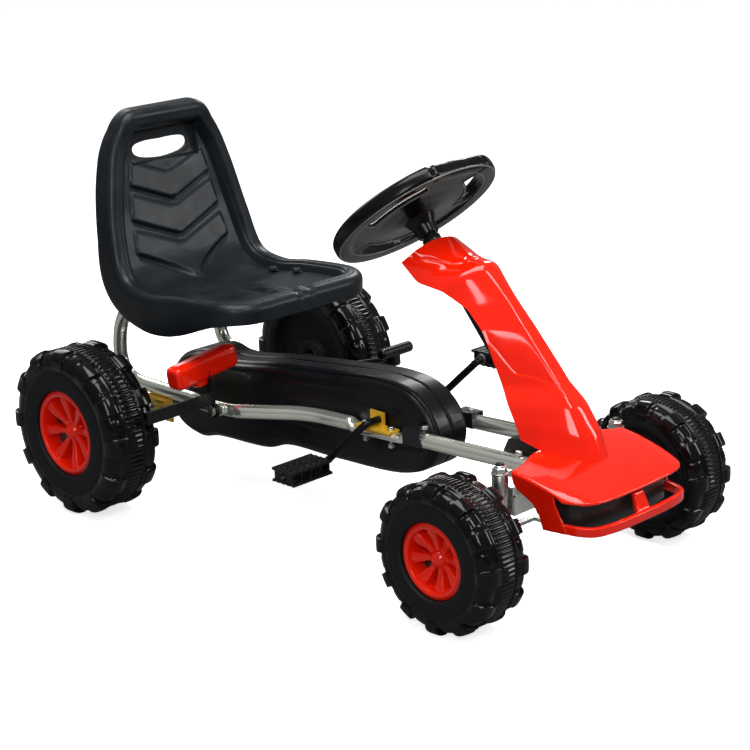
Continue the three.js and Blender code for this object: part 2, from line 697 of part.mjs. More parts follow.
// Side view of the seat's front face: from the top of the back, down, and along the pan.
const SEAT_LINE = [
  [442, 582],
  [445, 535],
  [437, 480],
  [421, 400],
  [396, 338],
  [345, 324],
  [280, 330],
  [195, 334],
  [135, 331],
];
const seatCurve = new THREE.CatmullRomCurve3(SEAT_LINE.map(([y, z]) => V(0, y, z)));
const SEAT_LENGTH = seatCurve.getLength();
const SEAT = { roll: 14, wall: 4, topCorner: 72, frontCorner: 60, rim: 30, recess: 15 };
const SEAT_SLOT = { y: 452, z: 514, half: 56, high: 13 }; // hand hole through the back

// Half width, and depth of the skirt, at a distance along the seat line from the top.
function seatHalfWidth(along) {
  const widening = THREE.MathUtils.clamp((along - 30) / 270, 0, 1);
  const back = mix(151, 106, (1 - widening) ** 2);
  const fromFront = SEAT_LENGTH - along;
  const corner = (reach, radius) =>
    reach < radius ? radius - Math.sqrt(radius ** 2 - (radius - reach) ** 2) : 0;
  const top = 0.64 * corner(along, SEAT.topCorner);
  return back - top - corner(fromFront, SEAT.frontCorner);
}
function seatSkirt(along) {
  const upper = 10 * ease(along, 0, 110);
  const crease = 24 * ease(along, 150, 350);
  return 16 + (upper + crease) * (1 - ease(along, 350, SEAT_LENGTH));
}

// A point of the seat's skin: row along the line, across from -1 to 1, drop of the skirt 0 to 1.
function seatPoint(row, across, skirt, inset) {
  const along = mix(inset, SEAT_LENGTH - inset, row);
  const place = seatCurve.getPointAt(along / SEAT_LENGTH);
  const ahead = seatCurve.getTangentAt(along / SEAT_LENGTH);
  const normal = V(0, ahead.z, -ahead.y);
  const half = seatHalfWidth(along) - inset;
  const edge = Math.min(half * (1 - Math.abs(across)), along - inset, SEAT_LENGTH - inset - along);
  const roll = Math.max(0, SEAT.roll - inset - edge);
  let depth = SEAT.roll - inset - Math.sqrt(Math.max(0, (SEAT.roll - inset) ** 2 - roll ** 2)) + inset;
  depth += SEAT.recess * ease(edge, SEAT.rim - 8, SEAT.rim + 8);
  if (skirt) depth = SEAT.roll + skirt * seatSkirt(along);
  return place.addScaledVector(normal, -depth).add(V(half * across, 0, 0));
}

function seatSkin(inset) {
  const steps = [0, 4, 10, 22, 38, 75, 125, 180, 225, 260, 290, 320, 360, 410];
  const fromFront = [60, 38, 22, 10, 4, 0];
  const rows = [...steps.map((s) => s / SEAT_LENGTH), ...fromFront.map((s) => 1 - s / SEAT_LENGTH)];
  const columns = [-1, -0.97, -0.92, -0.84, -0.72, -0.4, 0, 0.4, 0.72, 0.84, 0.92, 0.97, 1];
  const line = (row, skirt) => [
    seatPoint(row, -1, 1, inset),
    ...columns.map((across) => seatPoint(row, across, skirt, inset)),
    seatPoint(row, 1, 1, inset),
  ];
  return [line(0, 1), ...rows.map((row) => line(row, 0)), line(1, 1)];
}

// Height of the pan's recessed floor over a seat bolt.
const seatPanTop = (y) => 333 - SEAT.recess - 0.1 * (y - SEAT_BOLT.frontY);

const seat = () => {
  const body = shell(seatSkin(0), seatSkin(SEAT.wall));
  const { y: slotY, z: slotZ, half, high } = SEAT_SLOT;
  const slot = bar(high, 60, "y", [0, 0, 0], 20).scale(half / high, 1, 1);
  const bolts = SIDES.flatMap(({ sign }) =>
    [SEAT_BOLT.rearY, SEAT_BOLT.frontY].map((y) =>
      box(8, 16, 60, [sign * SEAT_TUBE.x, y, seatRunHeight(y) + 20]),
    ),
  );
  return cut(body, slot.translate(0, slotY, slotZ), ...bolts);
};

// ---------------------------------------------------------------- column cover and nose

// Crown line [y, z], edge line [x, y, z] and fullness of the cover, from the top down to the nose.
const COVER_STATIONS = [
  { crown: [-142, 451], edge: [62, -125, 426], full: 3 },
  { crown: [-165, 440], edge: [64, -142, 414], full: 3.5 },
  { crown: [-194, 425], edge: [65, -159, 402], full: 3.5 },
  { crown: [-224, 423], edge: [62, -188, 397], full: 1.9 },
  { crown: [-243, 417], edge: [59, -205, 393], full: 1.4 },
  { crown: [-270, 395], edge: [51, -233, 377], full: 1.6 },
  { crown: [-297, 361], edge: [49, -263, 354], full: 1.9 },
  { crown: [-325, 333], edge: [50, -277, 327], full: 2.5 },
  { crown: [-353, 305], edge: [50, -288, 302], full: 2.5 },
  { crown: [-368, 278], edge: [51, -299, 277], full: 2.5 },
  { crown: [-393, 258], edge: [55, -311, 256], full: 3.4 },
  { crown: [-416, 226], edge: [58, -328, 233], full: 3.4 },
  { crown: [-428, 192], edge: [60, -338, 212], full: 3.4 },
  { crown: [-436, 176], edge: [60, -341, 190], full: 2.8 },
];

function coverSkin(inset) {
  return COVER_STATIONS.map(({ crown, edge, full }) => {
    const columns = 10;
    return Array.from({ length: columns + 1 }, (_, i) => {
      const across = Math.sin((i / columns - 0.5) * Math.PI);
      const sink = Math.abs(across) ** full;
      const x = (edge[0] - inset) * across;
      const y = mix(crown[0] + inset * 0.7, edge[1], sink);
      const z = mix(crown[1] - inset * 0.7, edge[2], sink);
      return V(x, y, z);
    });
  });
}

const columnCover = () =>
  cut(
    shell(coverSkin(0), coverSkin(3)),
    shell(noseTop(0.5), noseTop(-60)),
    box(160, 70, 60, [0, -328, 181]),
  );

const NOSE = {
  half: 118,
  wall: 4,
  plateY: -492,
  lipY: -505,
  lipZ: 129,
  lipHigh: 13,
  lipHalf: 112,
  bandRear: -425,
};

// Height lines of the nose from its rear edge to its front edge, at the middle and at the sides.
const NOSE_MIDDLE = [203, 199, 195, 190, 185, 179, 173, 165.5];
const NOSE_SIDE = [192, 190, 188, 185, 182, 179, 175, 170];
const noseFront = (x) => NOSE.plateY + 42 * Math.abs(x / NOSE.half) ** 9;
const noseRear = (x) => -360 - 10 * ease(Math.abs(x), 60, 100);

function noseTop(lift) {
  const columns = 12;
  return NOSE_MIDDLE.map((middle, row) => {
    const along = row / (NOSE_MIDDLE.length - 1);
    return Array.from({ length: columns + 1 }, (_, i) => {
      const x = (NOSE.half - 2) * Math.sin((i / columns - 0.5) * Math.PI);
      const side = (x / NOSE.half) ** 2;
      const y = mix(noseRear(x), noseFront(x), along ** 0.85);
      return V(x, y, mix(middle, NOSE_SIDE[row], side) + lift);
    });
  });
}

// A band that follows the front of the nose in plan, set in from the lip at its sides and front.
function noseBand(sideInset, frontInset, thick, low, high) {
  const half = NOSE.lipHalf - sideInset;
  const front = NOSE.lipY + frontInset;
  const path = [
    V(-half, NOSE.bandRear, 0),
    V(-half + 1, front + 50, 0),
    V(-half + 6, front + 27, 0),
    V(-half + 18, front + 11, 0),
    V(-half + 42, front + 3, 0),
    V(0, front, 0),
  ];
  const mirrored = path.slice(0, -1).map((p) => V(-p.x, p.y, 0));
  const all = [...path, ...mirrored.reverse()];
  const rings = all.map((p, i) => {
    const before = all[Math.max(i - 1, 0)];
    const after = all[Math.min(i + 1, all.length - 1)];
    const out = after.clone().sub(before).normalize();
    const inward = V(-out.y, out.x, 0).multiplyScalar(thick);
    const inner = p.clone().add(inward);
    return [V(p.x, p.y, low), V(p.x, p.y, high), V(inner.x, inner.y, high), V(inner.x, inner.y, low)];
  });
  return loft(rings);
}

// A side wall of the nose, leaning in from the plate's edge to the lip.
function noseCheek(sign) {
  const { half, wall, lipZ, lipHigh, lipHalf } = NOSE;
  const top = NOSE_SIDE[0] - 1;
  const outline = [
    [-370, top],
    [-372, 175],
    [-380, 166],
    [-402, 155],
    [-413, 140],
    [-418, lipZ - lipHigh / 2 - 3],
    [-458, lipZ - lipHigh / 2],
    [-455, lipZ + lipHigh / 2 - 1],
    [-441, 168],
    [-441, 176],
    [-405, 185],
  ];
  const outer = sign * half;
  const inner = outer - sign * wall;
  const plate = sidePlate(outline, Math.min(outer, inner), Math.max(outer, inner));
  const draft = (sign * (half - lipHalf)) / (top - lipZ);
  const lean = new THREE.Matrix4().makeShear(0, 0, 0, 0, draft, 0);
  return plate.applyMatrix4(lean).translate(-top * draft, 0, 0);
}

function nose() {
  const { lipZ, lipHigh, wall } = NOSE;
  const lip = noseBand(0, 0, 8, lipZ - lipHigh / 2, lipZ + lipHigh / 2);
  const tab = sidePlate([[-502, 125], [-494, 125], [-481, 166], [-489, 166]], -7.5, 7.5);
  return join(shell(noseTop(0), noseTop(-wall)), noseCheek(-1), noseCheek(1), lip, tab);
}

// The black panel behind the lip, between it and the underside of the nose.
const grille = () => {
  const panel = noseBand(10, 24, 3, NOSE.lipZ - 6, 178);
  return cut(panel, shell(noseTop(60), noseTop(-NOSE.wall - 0.4)));
};

// The black foot under the rear of the cover, bolted to the front plate between the rails.
function coverFoot() {
  const bottom = BRACKET.z + BRACKET.thick / 2 + GAP;
  const outline = [[-366, bottom], [-300, bottom], [-287, 182], [-296, 200], [-330, 207], [-366, 195]];
  return cut(sidePlate(outline, -38, 38), columnHole(3));
}

// A ring around the column, between two distances from the steering wheel's centre.
const columnRing = (from, to, outer) =>
  cut(onColumn(outer, from, to), onColumn(COLUMN.radius + GAP, from + 2, to - 2));

// The block inside the cover's neck that the column turns in.
const upperBush = () => {
  const block = box(46, 16, 22, [0, -72, 0]).rotateX(rake).translate(0, COLUMN.y, COLUMN.z);
  return cut(block, onColumn(COLUMN.radius + GAP, -50, -95));
};

for (const { name, sign } of SIDES) {
  add("axle_plate_" + name, axlePlate(sign), YELLOW_ZINC);
  add("crank_plate_" + name, crankPlate(sign), YELLOW_ZINC);
  wheel("rear", name, sign, REAR_WHEEL, REAR_AXLE);
  wheel("front", name, sign, FRONT_WHEEL, FRONT_AXLE);
  add("knuckle_" + name, knuckle(sign), DARK_STEEL);
  add("case_half_" + name, caseHalf(sign), BLACK);
  add("case_clamp_" + name, caseClamp(sign), BLACK);
}
const rearLength = 2 * axleEnd(REAR_WHEEL);
const rearAxle = bar(AXLE_RADIUS, rearLength, "x", [0, REAR_AXLE.y, REAR_AXLE.z], 12);
add("rear_axle", rearAxle, STEEL);
add("tie_rod", tieRod(), STEEL);
add("steering_column", column(), DARK_STEEL);
add("steering_wheel", onWheel(steeringWheel()), BLACK);
add("crank", crank(), DARK_STEEL);
add("chainring", sprocket(CHAINRING_RADIUS, CRANK.rod, CRANK.y, CRANK.z), STEEL);
add("rear_sprocket", sprocket(SPROCKET_RADIUS, AXLE_RADIUS, REAR_AXLE.y, REAR_AXLE.z), STEEL);
add("chain", chain(), DARK_STEEL);
for (const { name, sign } of SIDES) {
  const back = CRANK.radius * Math.cos(deg(CRANK.angle));
  const place = [sign * PEDAL.x, CRANK.y - sign * back, CRANK.z + sign * back];
  add("pedal_" + name, pedal().translate(...place), BLACK);
}
add("brake_lever", brakeLever(-1), DARK_STEEL);
add("brake_grip", brakeGrip(-1), RED);
add("shift_lever", shiftLever(1), DARK_STEEL);
add("shift_grip", shiftGrip(1), BLACK);
add("seat", seat(), SEAT_BLACK);
add("nose_fairing", nose(), RED);
add("grille_panel", grille(), BLACK);
add("cover_foot", coverFoot(), BLACK);
add("column_lower_bush", columnRing(-408, -426, COLUMN.radius + 2.2), BLACK);
add("column_upper_bush", upperBush(), BLACK);
for (const { name, sign } of SIDES) {
  const pivotBolt = bolt(PIVOT_BOLT_RADIUS, 22, 13).rotateY((sign * Math.PI) / 2);
  pivotBolt.translate(sign * (LEVER_X + 2 + GAP), PIVOT.y, PIVOT.z);
  add("pivot_bolt_" + name, pivotBolt, STEEL);
  for (const [end, y] of [["rear", SEAT_BOLT.rearY], ["front", SEAT_BOLT.frontY]]) {
    const seatBolt = bolt(SEAT_BOLT.radius, 38, 13).translate(sign * SEAT_TUBE.x, y, seatPanTop(y));
    add("seat_bolt_" + end + "_" + name, seatBolt, STEEL);
  }
  const top = KINGPIN.z + KINGPIN.sleeve / 2;
  const washer = bar(12, 3, "z", [0, 0, 1.5 + GAP], 16);
  const nut = cut(join(washer, hexagon(18, 10, 8)), bar(KINGPIN.bolt + GAP, 7, "z", [0, 0, 2]));
  add("kingpin_nut_" + name, nut.translate(sign * KINGPIN.x, FRONT_AXLE.y, top), STEEL);
}
add("column_cover", columnCover(), RED);

export default kart;
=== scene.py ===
"""Looks of the pedal go kart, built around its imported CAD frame.

Lengths in the builders are millimetres in the kart's frame: front -Y, driver's right -X, up +Z.
"""
import math

import bmesh
import bpy
import numpy as np
from mathutils import Matrix, Vector


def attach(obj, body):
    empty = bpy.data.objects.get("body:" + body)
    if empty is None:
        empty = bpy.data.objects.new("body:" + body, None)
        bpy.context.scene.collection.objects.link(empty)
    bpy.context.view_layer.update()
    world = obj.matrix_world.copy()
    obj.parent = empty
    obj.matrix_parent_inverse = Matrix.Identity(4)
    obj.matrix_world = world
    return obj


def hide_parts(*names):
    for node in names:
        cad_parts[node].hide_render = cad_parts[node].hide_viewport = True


MM = 0.001
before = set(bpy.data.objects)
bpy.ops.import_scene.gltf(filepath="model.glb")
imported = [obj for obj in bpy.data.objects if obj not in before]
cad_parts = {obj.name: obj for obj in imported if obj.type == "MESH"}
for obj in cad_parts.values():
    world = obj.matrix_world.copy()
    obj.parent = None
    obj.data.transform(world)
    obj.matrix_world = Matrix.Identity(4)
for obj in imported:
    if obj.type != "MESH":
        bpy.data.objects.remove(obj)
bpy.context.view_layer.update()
SIDES = (("right", -1), ("left", 1))

# ---------------------------------------------------------------- driving dimensions

REAR = {"radius": 130, "width": 95, "bead": 65, "x": 254, "y": 375, "z": 130}
FRONT = {"radius": 104, "width": 90, "bead": 51.5, "x": 219, "y": -355, "z": 104}
LUGS = 12
RIBS = 96
SPOKES = 8
HUB_INSET = 7
HUB_BORE = 7.4
TUBE_RADIUS = 11
RAIL = {"x": 54, "front_y": -358, "rear_y": 244, "front_z": 178, "rear_z": 154, "bend_y": 86}
SEAT_TUBE_X = 105
PIVOT_Y, PIVOT_Z = 238, 148
KINGPIN_X = 122
COLUMN_Y, COLUMN_Z = -92, 487
RAKE = math.radians(50.6)
CRANK_Y, CRANK_Z = -56, 179.5
CRANK_THROW = 97 * math.cos(math.radians(45))
CRANK_HALF = 171
PEDAL_X = 140
LEVER_X = 112.8
SEAT_BOLTS = (("rear", 330), ("front", 275))
BRAKE_GRIP = (-115, 256, 216)
WHEEL_RIM = {"radius": 127, "thick": 12, "corner": 0.42}


# ---------------------------------------------------------------- node materials


def tree_of(name):
    material = bpy.data.materials.new(name)
    material.use_nodes = True
    nodes = material.node_tree.nodes
    return material, nodes, nodes["Principled BSDF"]


def feed(node, **values):
    """Sets a node's properties and inputs by name, or links an input to the output given for it."""
    for key, value in values.items():
        if hasattr(node, key):
            setattr(node, key, value)
            continue
        socket = node.inputs[key.replace("_", " ")]
        if isinstance(value, bpy.types.NodeSocket):
            node.id_data.links.new(value, socket)
        else:
            socket.default_value = value
    return node


def put(nodes, kind, **values):
    return feed(nodes.new(kind), **values)


def noise_of(nodes, scale, detail=4.0, stretch=(1, 1, 1)):
    """Noise in the kart's own frame, so that it doesn't depend on UVs."""
    where = nodes.new("ShaderNodeTexCoord")
    mapping = put(nodes, "ShaderNodeMapping", Vector=where.outputs["Object"], Scale=stretch)
    noise = put(nodes, "ShaderNodeTexNoise", Vector=mapping.outputs["Vector"], Scale=scale, Detail=detail)
    return noise.outputs["Fac"]


def ramp(nodes, value, low, high, start=0.3, end=0.7):
    """Maps a value from start..end to low..high, for numbers or for colours."""
    if isinstance(low, tuple):
        made = put(nodes, "ShaderNodeValToRGB", Fac=value)
        for k, (place, colour) in enumerate(((start, low), (end, high))):
            made.color_ramp.elements[k].position = place
            made.color_ramp.elements[k].color = (*colour, 1)
        return made.outputs["Color"]
    span = {"From_Min": start, "From_Max": end, "To_Min": low, "To_Max": high}
    return put(nodes, "ShaderNodeMapRange", Value=value, **span).outputs["Result"]


def bump_of(nodes, value, depth, strength=1.0, **under):
    """The normal of a bump, laid over another one if that is given as Normal."""
    bump = put(nodes, "ShaderNodeBump", Height=value, Strength=strength, Distance=depth, **under)
    return bump.outputs["Normal"]


def worn_edges(nodes, colour, edge_colour, amount):
    """Blends a colour towards a paler one where the surface turns sharply outwards."""
    geometry = nodes.new("ShaderNodeNewGeometry")
    edge = ramp(nodes, geometry.outputs["Pointiness"], 0.0, amount, 0.52, 0.62)
    blend = put(nodes, "ShaderNodeMix", data_type="RGBA", Factor=edge, A=colour, B=(*edge_colour, 1))
    return blend.outputs["Result"]


def plastic(name, dark, light, gloss, grain_scale, grain_depth, edge, wear, coat, shine):
    """Moulded plastic: slow colour drift, moulding grain, smudged gloss and paler edges."""
    material, nodes, shader = tree_of(name)
    colour = ramp(nodes, noise_of(nodes, 14, 3), dark, light)
    feed(
        shader,
        Base_Color=worn_edges(nodes, colour, edge, wear),
        Roughness=ramp(nodes, noise_of(nodes, 32, 5), *gloss),
        Normal=bump_of(nodes, noise_of(nodes, grain_scale, 2), grain_depth),
        Coat_Weight=coat,
        Coat_Roughness=0.05,
        Specular_IOR_Level=shine,
    )
    return material


def metal(name, dark, light, gloss, stretch, metallic, streak_scale, depth=0.00002, wear=0.35):
    """Drawn or plated metal: streaks along the draw, uneven plating and fine pits."""
    material, nodes, shader = tree_of(name)
    streak = noise_of(nodes, streak_scale, 4, stretch)
    colour = ramp(nodes, streak, dark, light)
    feed(
        shader,
        Base_Color=worn_edges(nodes, colour, (0.9, 0.9, 0.88), wear),
        Roughness=ramp(nodes, noise_of(nodes, 45, 4), *gloss),
        Normal=bump_of(nodes, streak, depth),
        Metallic=metallic,
    )
    return material


def tyre_plastic():
    """Blow-moulded black: mirror-like lugs and tread, matte textured sidewall discs."""
    material, nodes, shader = tree_of("tyre_plastic")
    matte = put(nodes, "ShaderNodeAttribute", attribute_name="matte").outputs["Fac"]
    gloss = ramp(nodes, noise_of(nodes, 18, 3), 0.07, 0.16)
    rough = put(nodes, "ShaderNodeMix", data_type="FLOAT", Factor=matte, A=gloss, B=0.62)
    colour = put(nodes, "ShaderNodeMix", data_type="RGBA", Factor=matte, A=(0.002, 0.002, 0.002, 1),
                 B=(0.002, 0.003, 0.005, 1))
    grain = put(nodes, "ShaderNodeMath", operation="MULTIPLY")
    for value, socket in zip((noise_of(nodes, 1400, 2), matte), grain.inputs):
        material.node_tree.links.new(value, socket)
    swell = bump_of(nodes, noise_of(nodes, 60, 2), 0.0006, 0.5)
    feed(
        shader,
        Base_Color=worn_edges(nodes, colour.outputs["Result"], (0.03, 0.03, 0.03), 0.6),
        Roughness=rough.outputs["Result"],
        Normal=bump_of(nodes, grain.outputs["Value"], 0.0002, 0.6, Normal=swell),
        Specular_IOR_Level=0.26,
    )
    return material


LOOKS = {
    "red": plastic("red_plastic", (0.84, 0.010, 0.001), (0.90, 0.016, 0.002), (0.06, 0.12), 240, 0.00002,
                   (0.95, 0.08, 0.02), 0.25, 0.35, 0.3),
    "seat": plastic("seat_plastic", (0.004, 0.006, 0.009), (0.009, 0.013, 0.016), (0.28, 0.44), 900, 0.00014,
                    (0.04, 0.05, 0.045), 0.6, 0.05, 0.24),
    "case": plastic("case_plastic", (0.002, 0.003, 0.004), (0.004, 0.005, 0.007), (0.26, 0.42), 800, 0.00012,
                    (0.02, 0.025, 0.025), 0.5, 0.1, 0.26),
    "black": plastic("black_plastic", (0.003, 0.003, 0.004), (0.005, 0.005, 0.006), (0.18, 0.32), 500,
                     0.00008, (0.03, 0.03, 0.03), 0.6, 0.0, 0.3),
    "wheel": plastic("wheel_plastic", (0.001, 0.002, 0.002), (0.003, 0.004, 0.005), (0.16, 0.28), 420,
                     0.00006, (0.04, 0.045, 0.04), 0.7, 0.05, 0.2),
    # pale grey for the lips of the black wheel: painted highlights along its edges
    "lip": plastic("wheel_lip_painted_highlight", (0.10, 0.11, 0.10), (0.16, 0.17, 0.15), (0.16, 0.28), 420,
                   0.00006, (0.3, 0.3, 0.28), 0.4, 0.2, 0.4),
    "tyre": tyre_plastic(),
    "silver": metal("silver_lacquer", (0.90, 0.92, 0.82), (0.95, 0.97, 0.88), (0.14, 0.20), (30, 1, 30),
                    0.85, 14, 0.000002),
    "zinc": metal("zinc_plate", (0.52, 0.53, 0.50), (0.78, 0.79, 0.76), (0.18, 0.36), (1, 1, 1), 1.0, 260),
    "yellow": metal("yellow_zinc", (0.90, 0.50, 0.004), (0.96, 0.60, 0.01), (0.24, 0.38), (1, 1, 1), 0.3,
                    120, 0.00001, 0.05),
    "steel": plastic("black_enamel", (0.003, 0.003, 0.003), (0.006, 0.006, 0.006), (0.20, 0.34), 70, 0.00003,
                     (0.03, 0.03, 0.03), 0.5, 0.0, 0.22),
}


# ---------------------------------------------------------------- meshes


def linked(name, shape):
    """A new object in the scene, from points in millimetres and faces."""
    points, faces = shape
    mesh = bpy.data.meshes.new(name)
    mesh.from_pydata((np.asarray(points, float) * MM).tolist(), [], faces)
    obj = bpy.data.objects.new(name, mesh)
    bpy.context.scene.collection.objects.link(obj)
    return obj


def face_outwards(mesh, weld=False):
    """Turns a mesh's faces outwards, once the points that meet are welded."""
    made = bmesh.new()
    made.from_mesh(mesh)
    if weld:
        bmesh.ops.remove_doubles(made, verts=made.verts, dist=1e-6)
    bmesh.ops.recalc_face_normals(made, faces=made.faces)
    made.to_mesh(mesh)
    made.free()


def soft_edges(obj, width, crease):
    edge = obj.modifiers.new("edges", "BEVEL")
    edge.width = width * MM
    edge.segments = 2
    edge.limit_method = "ANGLE"
    edge.angle_limit = math.radians(crease)
    edge.harden_normals = True


def look_name(name):
    """A piece that stands for a CAD node is named after it."""
    return name + "_look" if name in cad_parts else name


def dress(obj, name, look, body):
    """Gives a piece its look, and rides it on its body in place of the CAD node of that name."""
    obj.data.materials.clear()
    obj.data.materials.append(LOOKS[look])
    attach(obj, body)
    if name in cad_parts:
        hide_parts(name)
    return obj


def piece(name, shape, look, body, crease=38, bevel=0.0):
    """A mesh piece in millimetres that rides on a body."""
    obj = linked(look_name(name), shape)
    face_outwards(obj.data, weld=True)
    obj.data.shade_smooth()
    if bevel:
        soft_edges(obj, bevel, crease)
        settle(obj)
    else:
        obj.data.set_sharp_from_angle(angle=math.radians(crease))
    return dress(obj, name, look, body)


def settle(obj):
    """Turns an object's modifiers into its mesh."""
    bpy.context.view_layer.update()
    graph = bpy.context.evaluated_depsgraph_get()
    mesh = bpy.data.meshes.new_from_object(obj.evaluated_get(graph), depsgraph=graph)
    obj.modifiers.clear()
    obj.data = mesh


def grid(rows, wrap_rows=False, wrap_columns=True, caps=False):
    """Points and faces of a grid of points, [row][column]."""
    rows = np.asarray(rows, float)
    count, size = rows.shape[:2]
    faces = []
    for i in range(count if wrap_rows else count - 1):
        for j in range(size if wrap_columns else size - 1):
            a, b = i * size, (i + 1) % count * size
            k = (j + 1) % size
            faces.append((a + j, a + k, b + k, b + j))
    if caps:
        faces.append(tuple(range(size)))
        faces.append(tuple((count - 1) * size + j for j in reversed(range(size))))
    return rows.reshape(-1, 3), faces


def shell(outer, inner):
    """A closed wall between two grids of points that match."""
    outer, inner = np.asarray(outer, float), np.asarray(inner, float)
    rows, columns = outer.shape[:2]
    total = rows * columns
    faces = []
    for i in range(rows - 1):
        for j in range(columns - 1):
            a, b = i * columns + j, (i + 1) * columns + j
            faces.append((a, b, b + 1, a + 1))
            faces.append((total + a, total + a + 1, total + b + 1, total + b))
    for i in range(rows - 1):
        for j in (0, columns - 1):
            a, b = i * columns + j, (i + 1) * columns + j
            faces.append((a, total + a, total + b, b))
    for j in range(columns - 1):
        for i in (0, rows - 1):
            a = i * columns + j
            faces.append((a, a + 1, total + a + 1, total + a))
    return np.concatenate([outer.reshape(-1, 3), inner.reshape(-1, 3)]), faces


def together(*shapes):
    points, faces = [], []
    for part, polygons in shapes:
        start = sum(len(p) for p in points)
        points.append(np.asarray(part, float))
        faces += [tuple(v + start for v in polygon) for polygon in polygons]
    return np.concatenate(points), faces


def moved(shape, matrix):
    points, faces = shape
    flat = np.asarray(points, float)
    turn = np.array(matrix.to_3x3())
    return flat @ turn.T + np.array(matrix.translation), faces


def placed(x, y, z, angle, axis):
    """A place, and a turn about one axis there."""
    return Matrix.Translation((x, y, z)) @ Matrix.Rotation(angle, 4, axis)


def at(shape, x, y, z):
    return moved(shape, Matrix.Translation((x, y, z)))


def box(wide, deep, high, x=0, y=0, z=0):
    corner = np.array([(i, j, k) for i in (-0.5, 0.5) for j in (-0.5, 0.5) for k in (-0.5, 0.5)])
    faces = [(0, 1, 3, 2), (4, 6, 7, 5), (0, 4, 5, 1), (2, 3, 7, 6), (0, 2, 6, 4), (1, 5, 7, 3)]
    return corner * (wide, deep, high) + (x, y, z), faces


AXES = {
    "x": Matrix.Rotation(math.pi / 2, 4, "Y"),
    "y": Matrix.Rotation(-math.pi / 2, 4, "X"),
    "z": Matrix.Identity(4),
}


def around(count):
    """Angles evenly round a full turn."""
    return np.arange(count) * 2 * math.pi / count


def circle(angle, radius, height):
    """Points about +Z at the given angles; the radius and the height may vary with the angle."""
    return np.stack([radius * np.cos(angle), radius * np.sin(angle), height + 0 * angle], 1)


def spun(profile, axis, segments, place, **ends):
    angle = around(segments)
    rows = [circle(angle, radius, height) for height, radius in profile]
    return moved(grid(rows, **ends), Matrix.Translation(place) @ AXES[axis])


def turned(profile, axis="z", segments=40, x=0, y=0, z=0):
    """A solid of revolution from [height, radius] points, open ends capped."""
    return spun(profile, axis, segments, (x, y, z), caps=True)


def ring(profile, axis="z", segments=40, x=0, y=0, z=0):
    """A solid of revolution from a closed loop of [height, radius] points."""
    return spun(profile, axis, segments, (x, y, z), wrap_rows=True)


def torus(radius, thick, segments=64, sides=16):
    section = [(thick * math.sin(a), radius + thick * math.cos(a)) for a in around(sides)]
    return ring(section, segments=segments)


def prism(outline, low, high):
    """A plate in the XY plane from an outline of points."""
    flat = np.asarray(outline, float)
    rows = [np.column_stack([flat, np.full(len(flat), z)]) for z in (low, high)]
    return grid(rows, caps=True)


def side_plate(outline, from_x, to_x):
    """A plate from a side outline of [y, z] points, between two distances from the middle."""
    flat = np.asarray(outline, float)
    rows = [np.column_stack([np.full(len(flat), x), flat]) for x in (from_x, to_x)]
    return grid(rows, caps=True)


def ease(value, start, end):
    t = np.clip((np.asarray(value, float) - start) / (end - start), 0, 1)
    return t * t * (3 - 2 * t)


def bell(value, width):
    return np.exp(-((value / width) ** 2))


def unit(vectors):
    return vectors / np.linalg.norm(vectors, axis=-1)[..., None]


def distance_to(line, flat):
    """Distance of each flat point to a closed line."""
    best = np.full(len(flat), 1e9)
    for p, q in zip(line, np.roll(line, -1, axis=0)):
        run = q - p
        t = np.clip((flat - p) @ run / max(run @ run, 1e-9), 0, 1)
        best = np.minimum(best, np.linalg.norm(flat - p - t[:, None] * run, axis=1))
    return best


def curve(points, count=200, closed=False, steps=24):
    """Evenly spaced points on a smooth curve through the given ones, and its length."""
    given = np.asarray(points, float)
    n = len(given)
    made = []
    for i in range(n if closed else n - 1):
        p1, p2 = given[i], given[(i + 1) % n]
        p0 = given[i - 1] if closed or i else 2 * p1 - p2
        p3 = given[(i + 2) % n] if closed or i + 2 < n else 2 * p2 - p1
        d0, d1, d2 = (max(math.dist(a, b), 1e-9) ** 0.5 for a, b in ((p0, p1), (p1, p2), (p2, p3)))
        t1 = ((p1 - p0) / d0 - (p2 - p0) / (d0 + d1) + (p2 - p1) / d1) * d1
        t2 = ((p2 - p1) / d1 - (p3 - p1) / (d1 + d2) + (p3 - p2) / d2) * d1
        for t in np.arange(steps) / steps:
            a = 2 * t**3 - 3 * t**2 + 1
            made.append(a * p1 + (1 - a) * p2 + (t**3 - 2 * t**2 + t) * t1 + (t**3 - t**2) * t2)
    made.append(given[0] if closed else given[-1])
    made = np.array(made)
    reach = np.concatenate([[0], np.cumsum(np.linalg.norm(np.diff(made, axis=0), axis=1))])
    where = np.linspace(0, reach[-1], count + 1)[:-1] if closed else np.linspace(0, reach[-1], count)
    spaced = np.stack([np.interp(where, reach, made[:, k]) for k in range(given.shape[1])], 1)
    return spaced, reach[-1]


def bent_path(corners, bend, steps=12):
    """Points along straight runs with a round bend at each inner corner."""
    corners = [np.asarray(c, float) for c in corners]
    path = [corners[0]]
    for before, corner, after in zip(corners, corners[1:], corners[2:]):
        back, ahead = before - corner, after - corner
        reach = min(bend, np.linalg.norm(back) * 0.49, np.linalg.norm(ahead) * 0.49)
        start = corner + back / np.linalg.norm(back) * reach
        end = corner + ahead / np.linalg.norm(ahead) * reach
        for t in np.linspace(0, 1, steps):
            path.append((1 - t) ** 2 * start + 2 * t * (1 - t) * corner + t * t * end)
    path.append(corners[-1])
    return np.array(path)


def finer(path, spacing):
    """More points on a path's straight runs."""
    made = [path[0]]
    for a, b in zip(path, path[1:]):
        count = max(1, round(math.dist(a, b) / spacing))
        made += [a + (b - a) * k / count for k in range(1, count + 1)]
    return np.array(made)


def squared(wave, power):
    """A sine or cosine made fuller by a power under 1, for rounded rectangles."""
    return np.sign(wave) * np.abs(wave) ** power


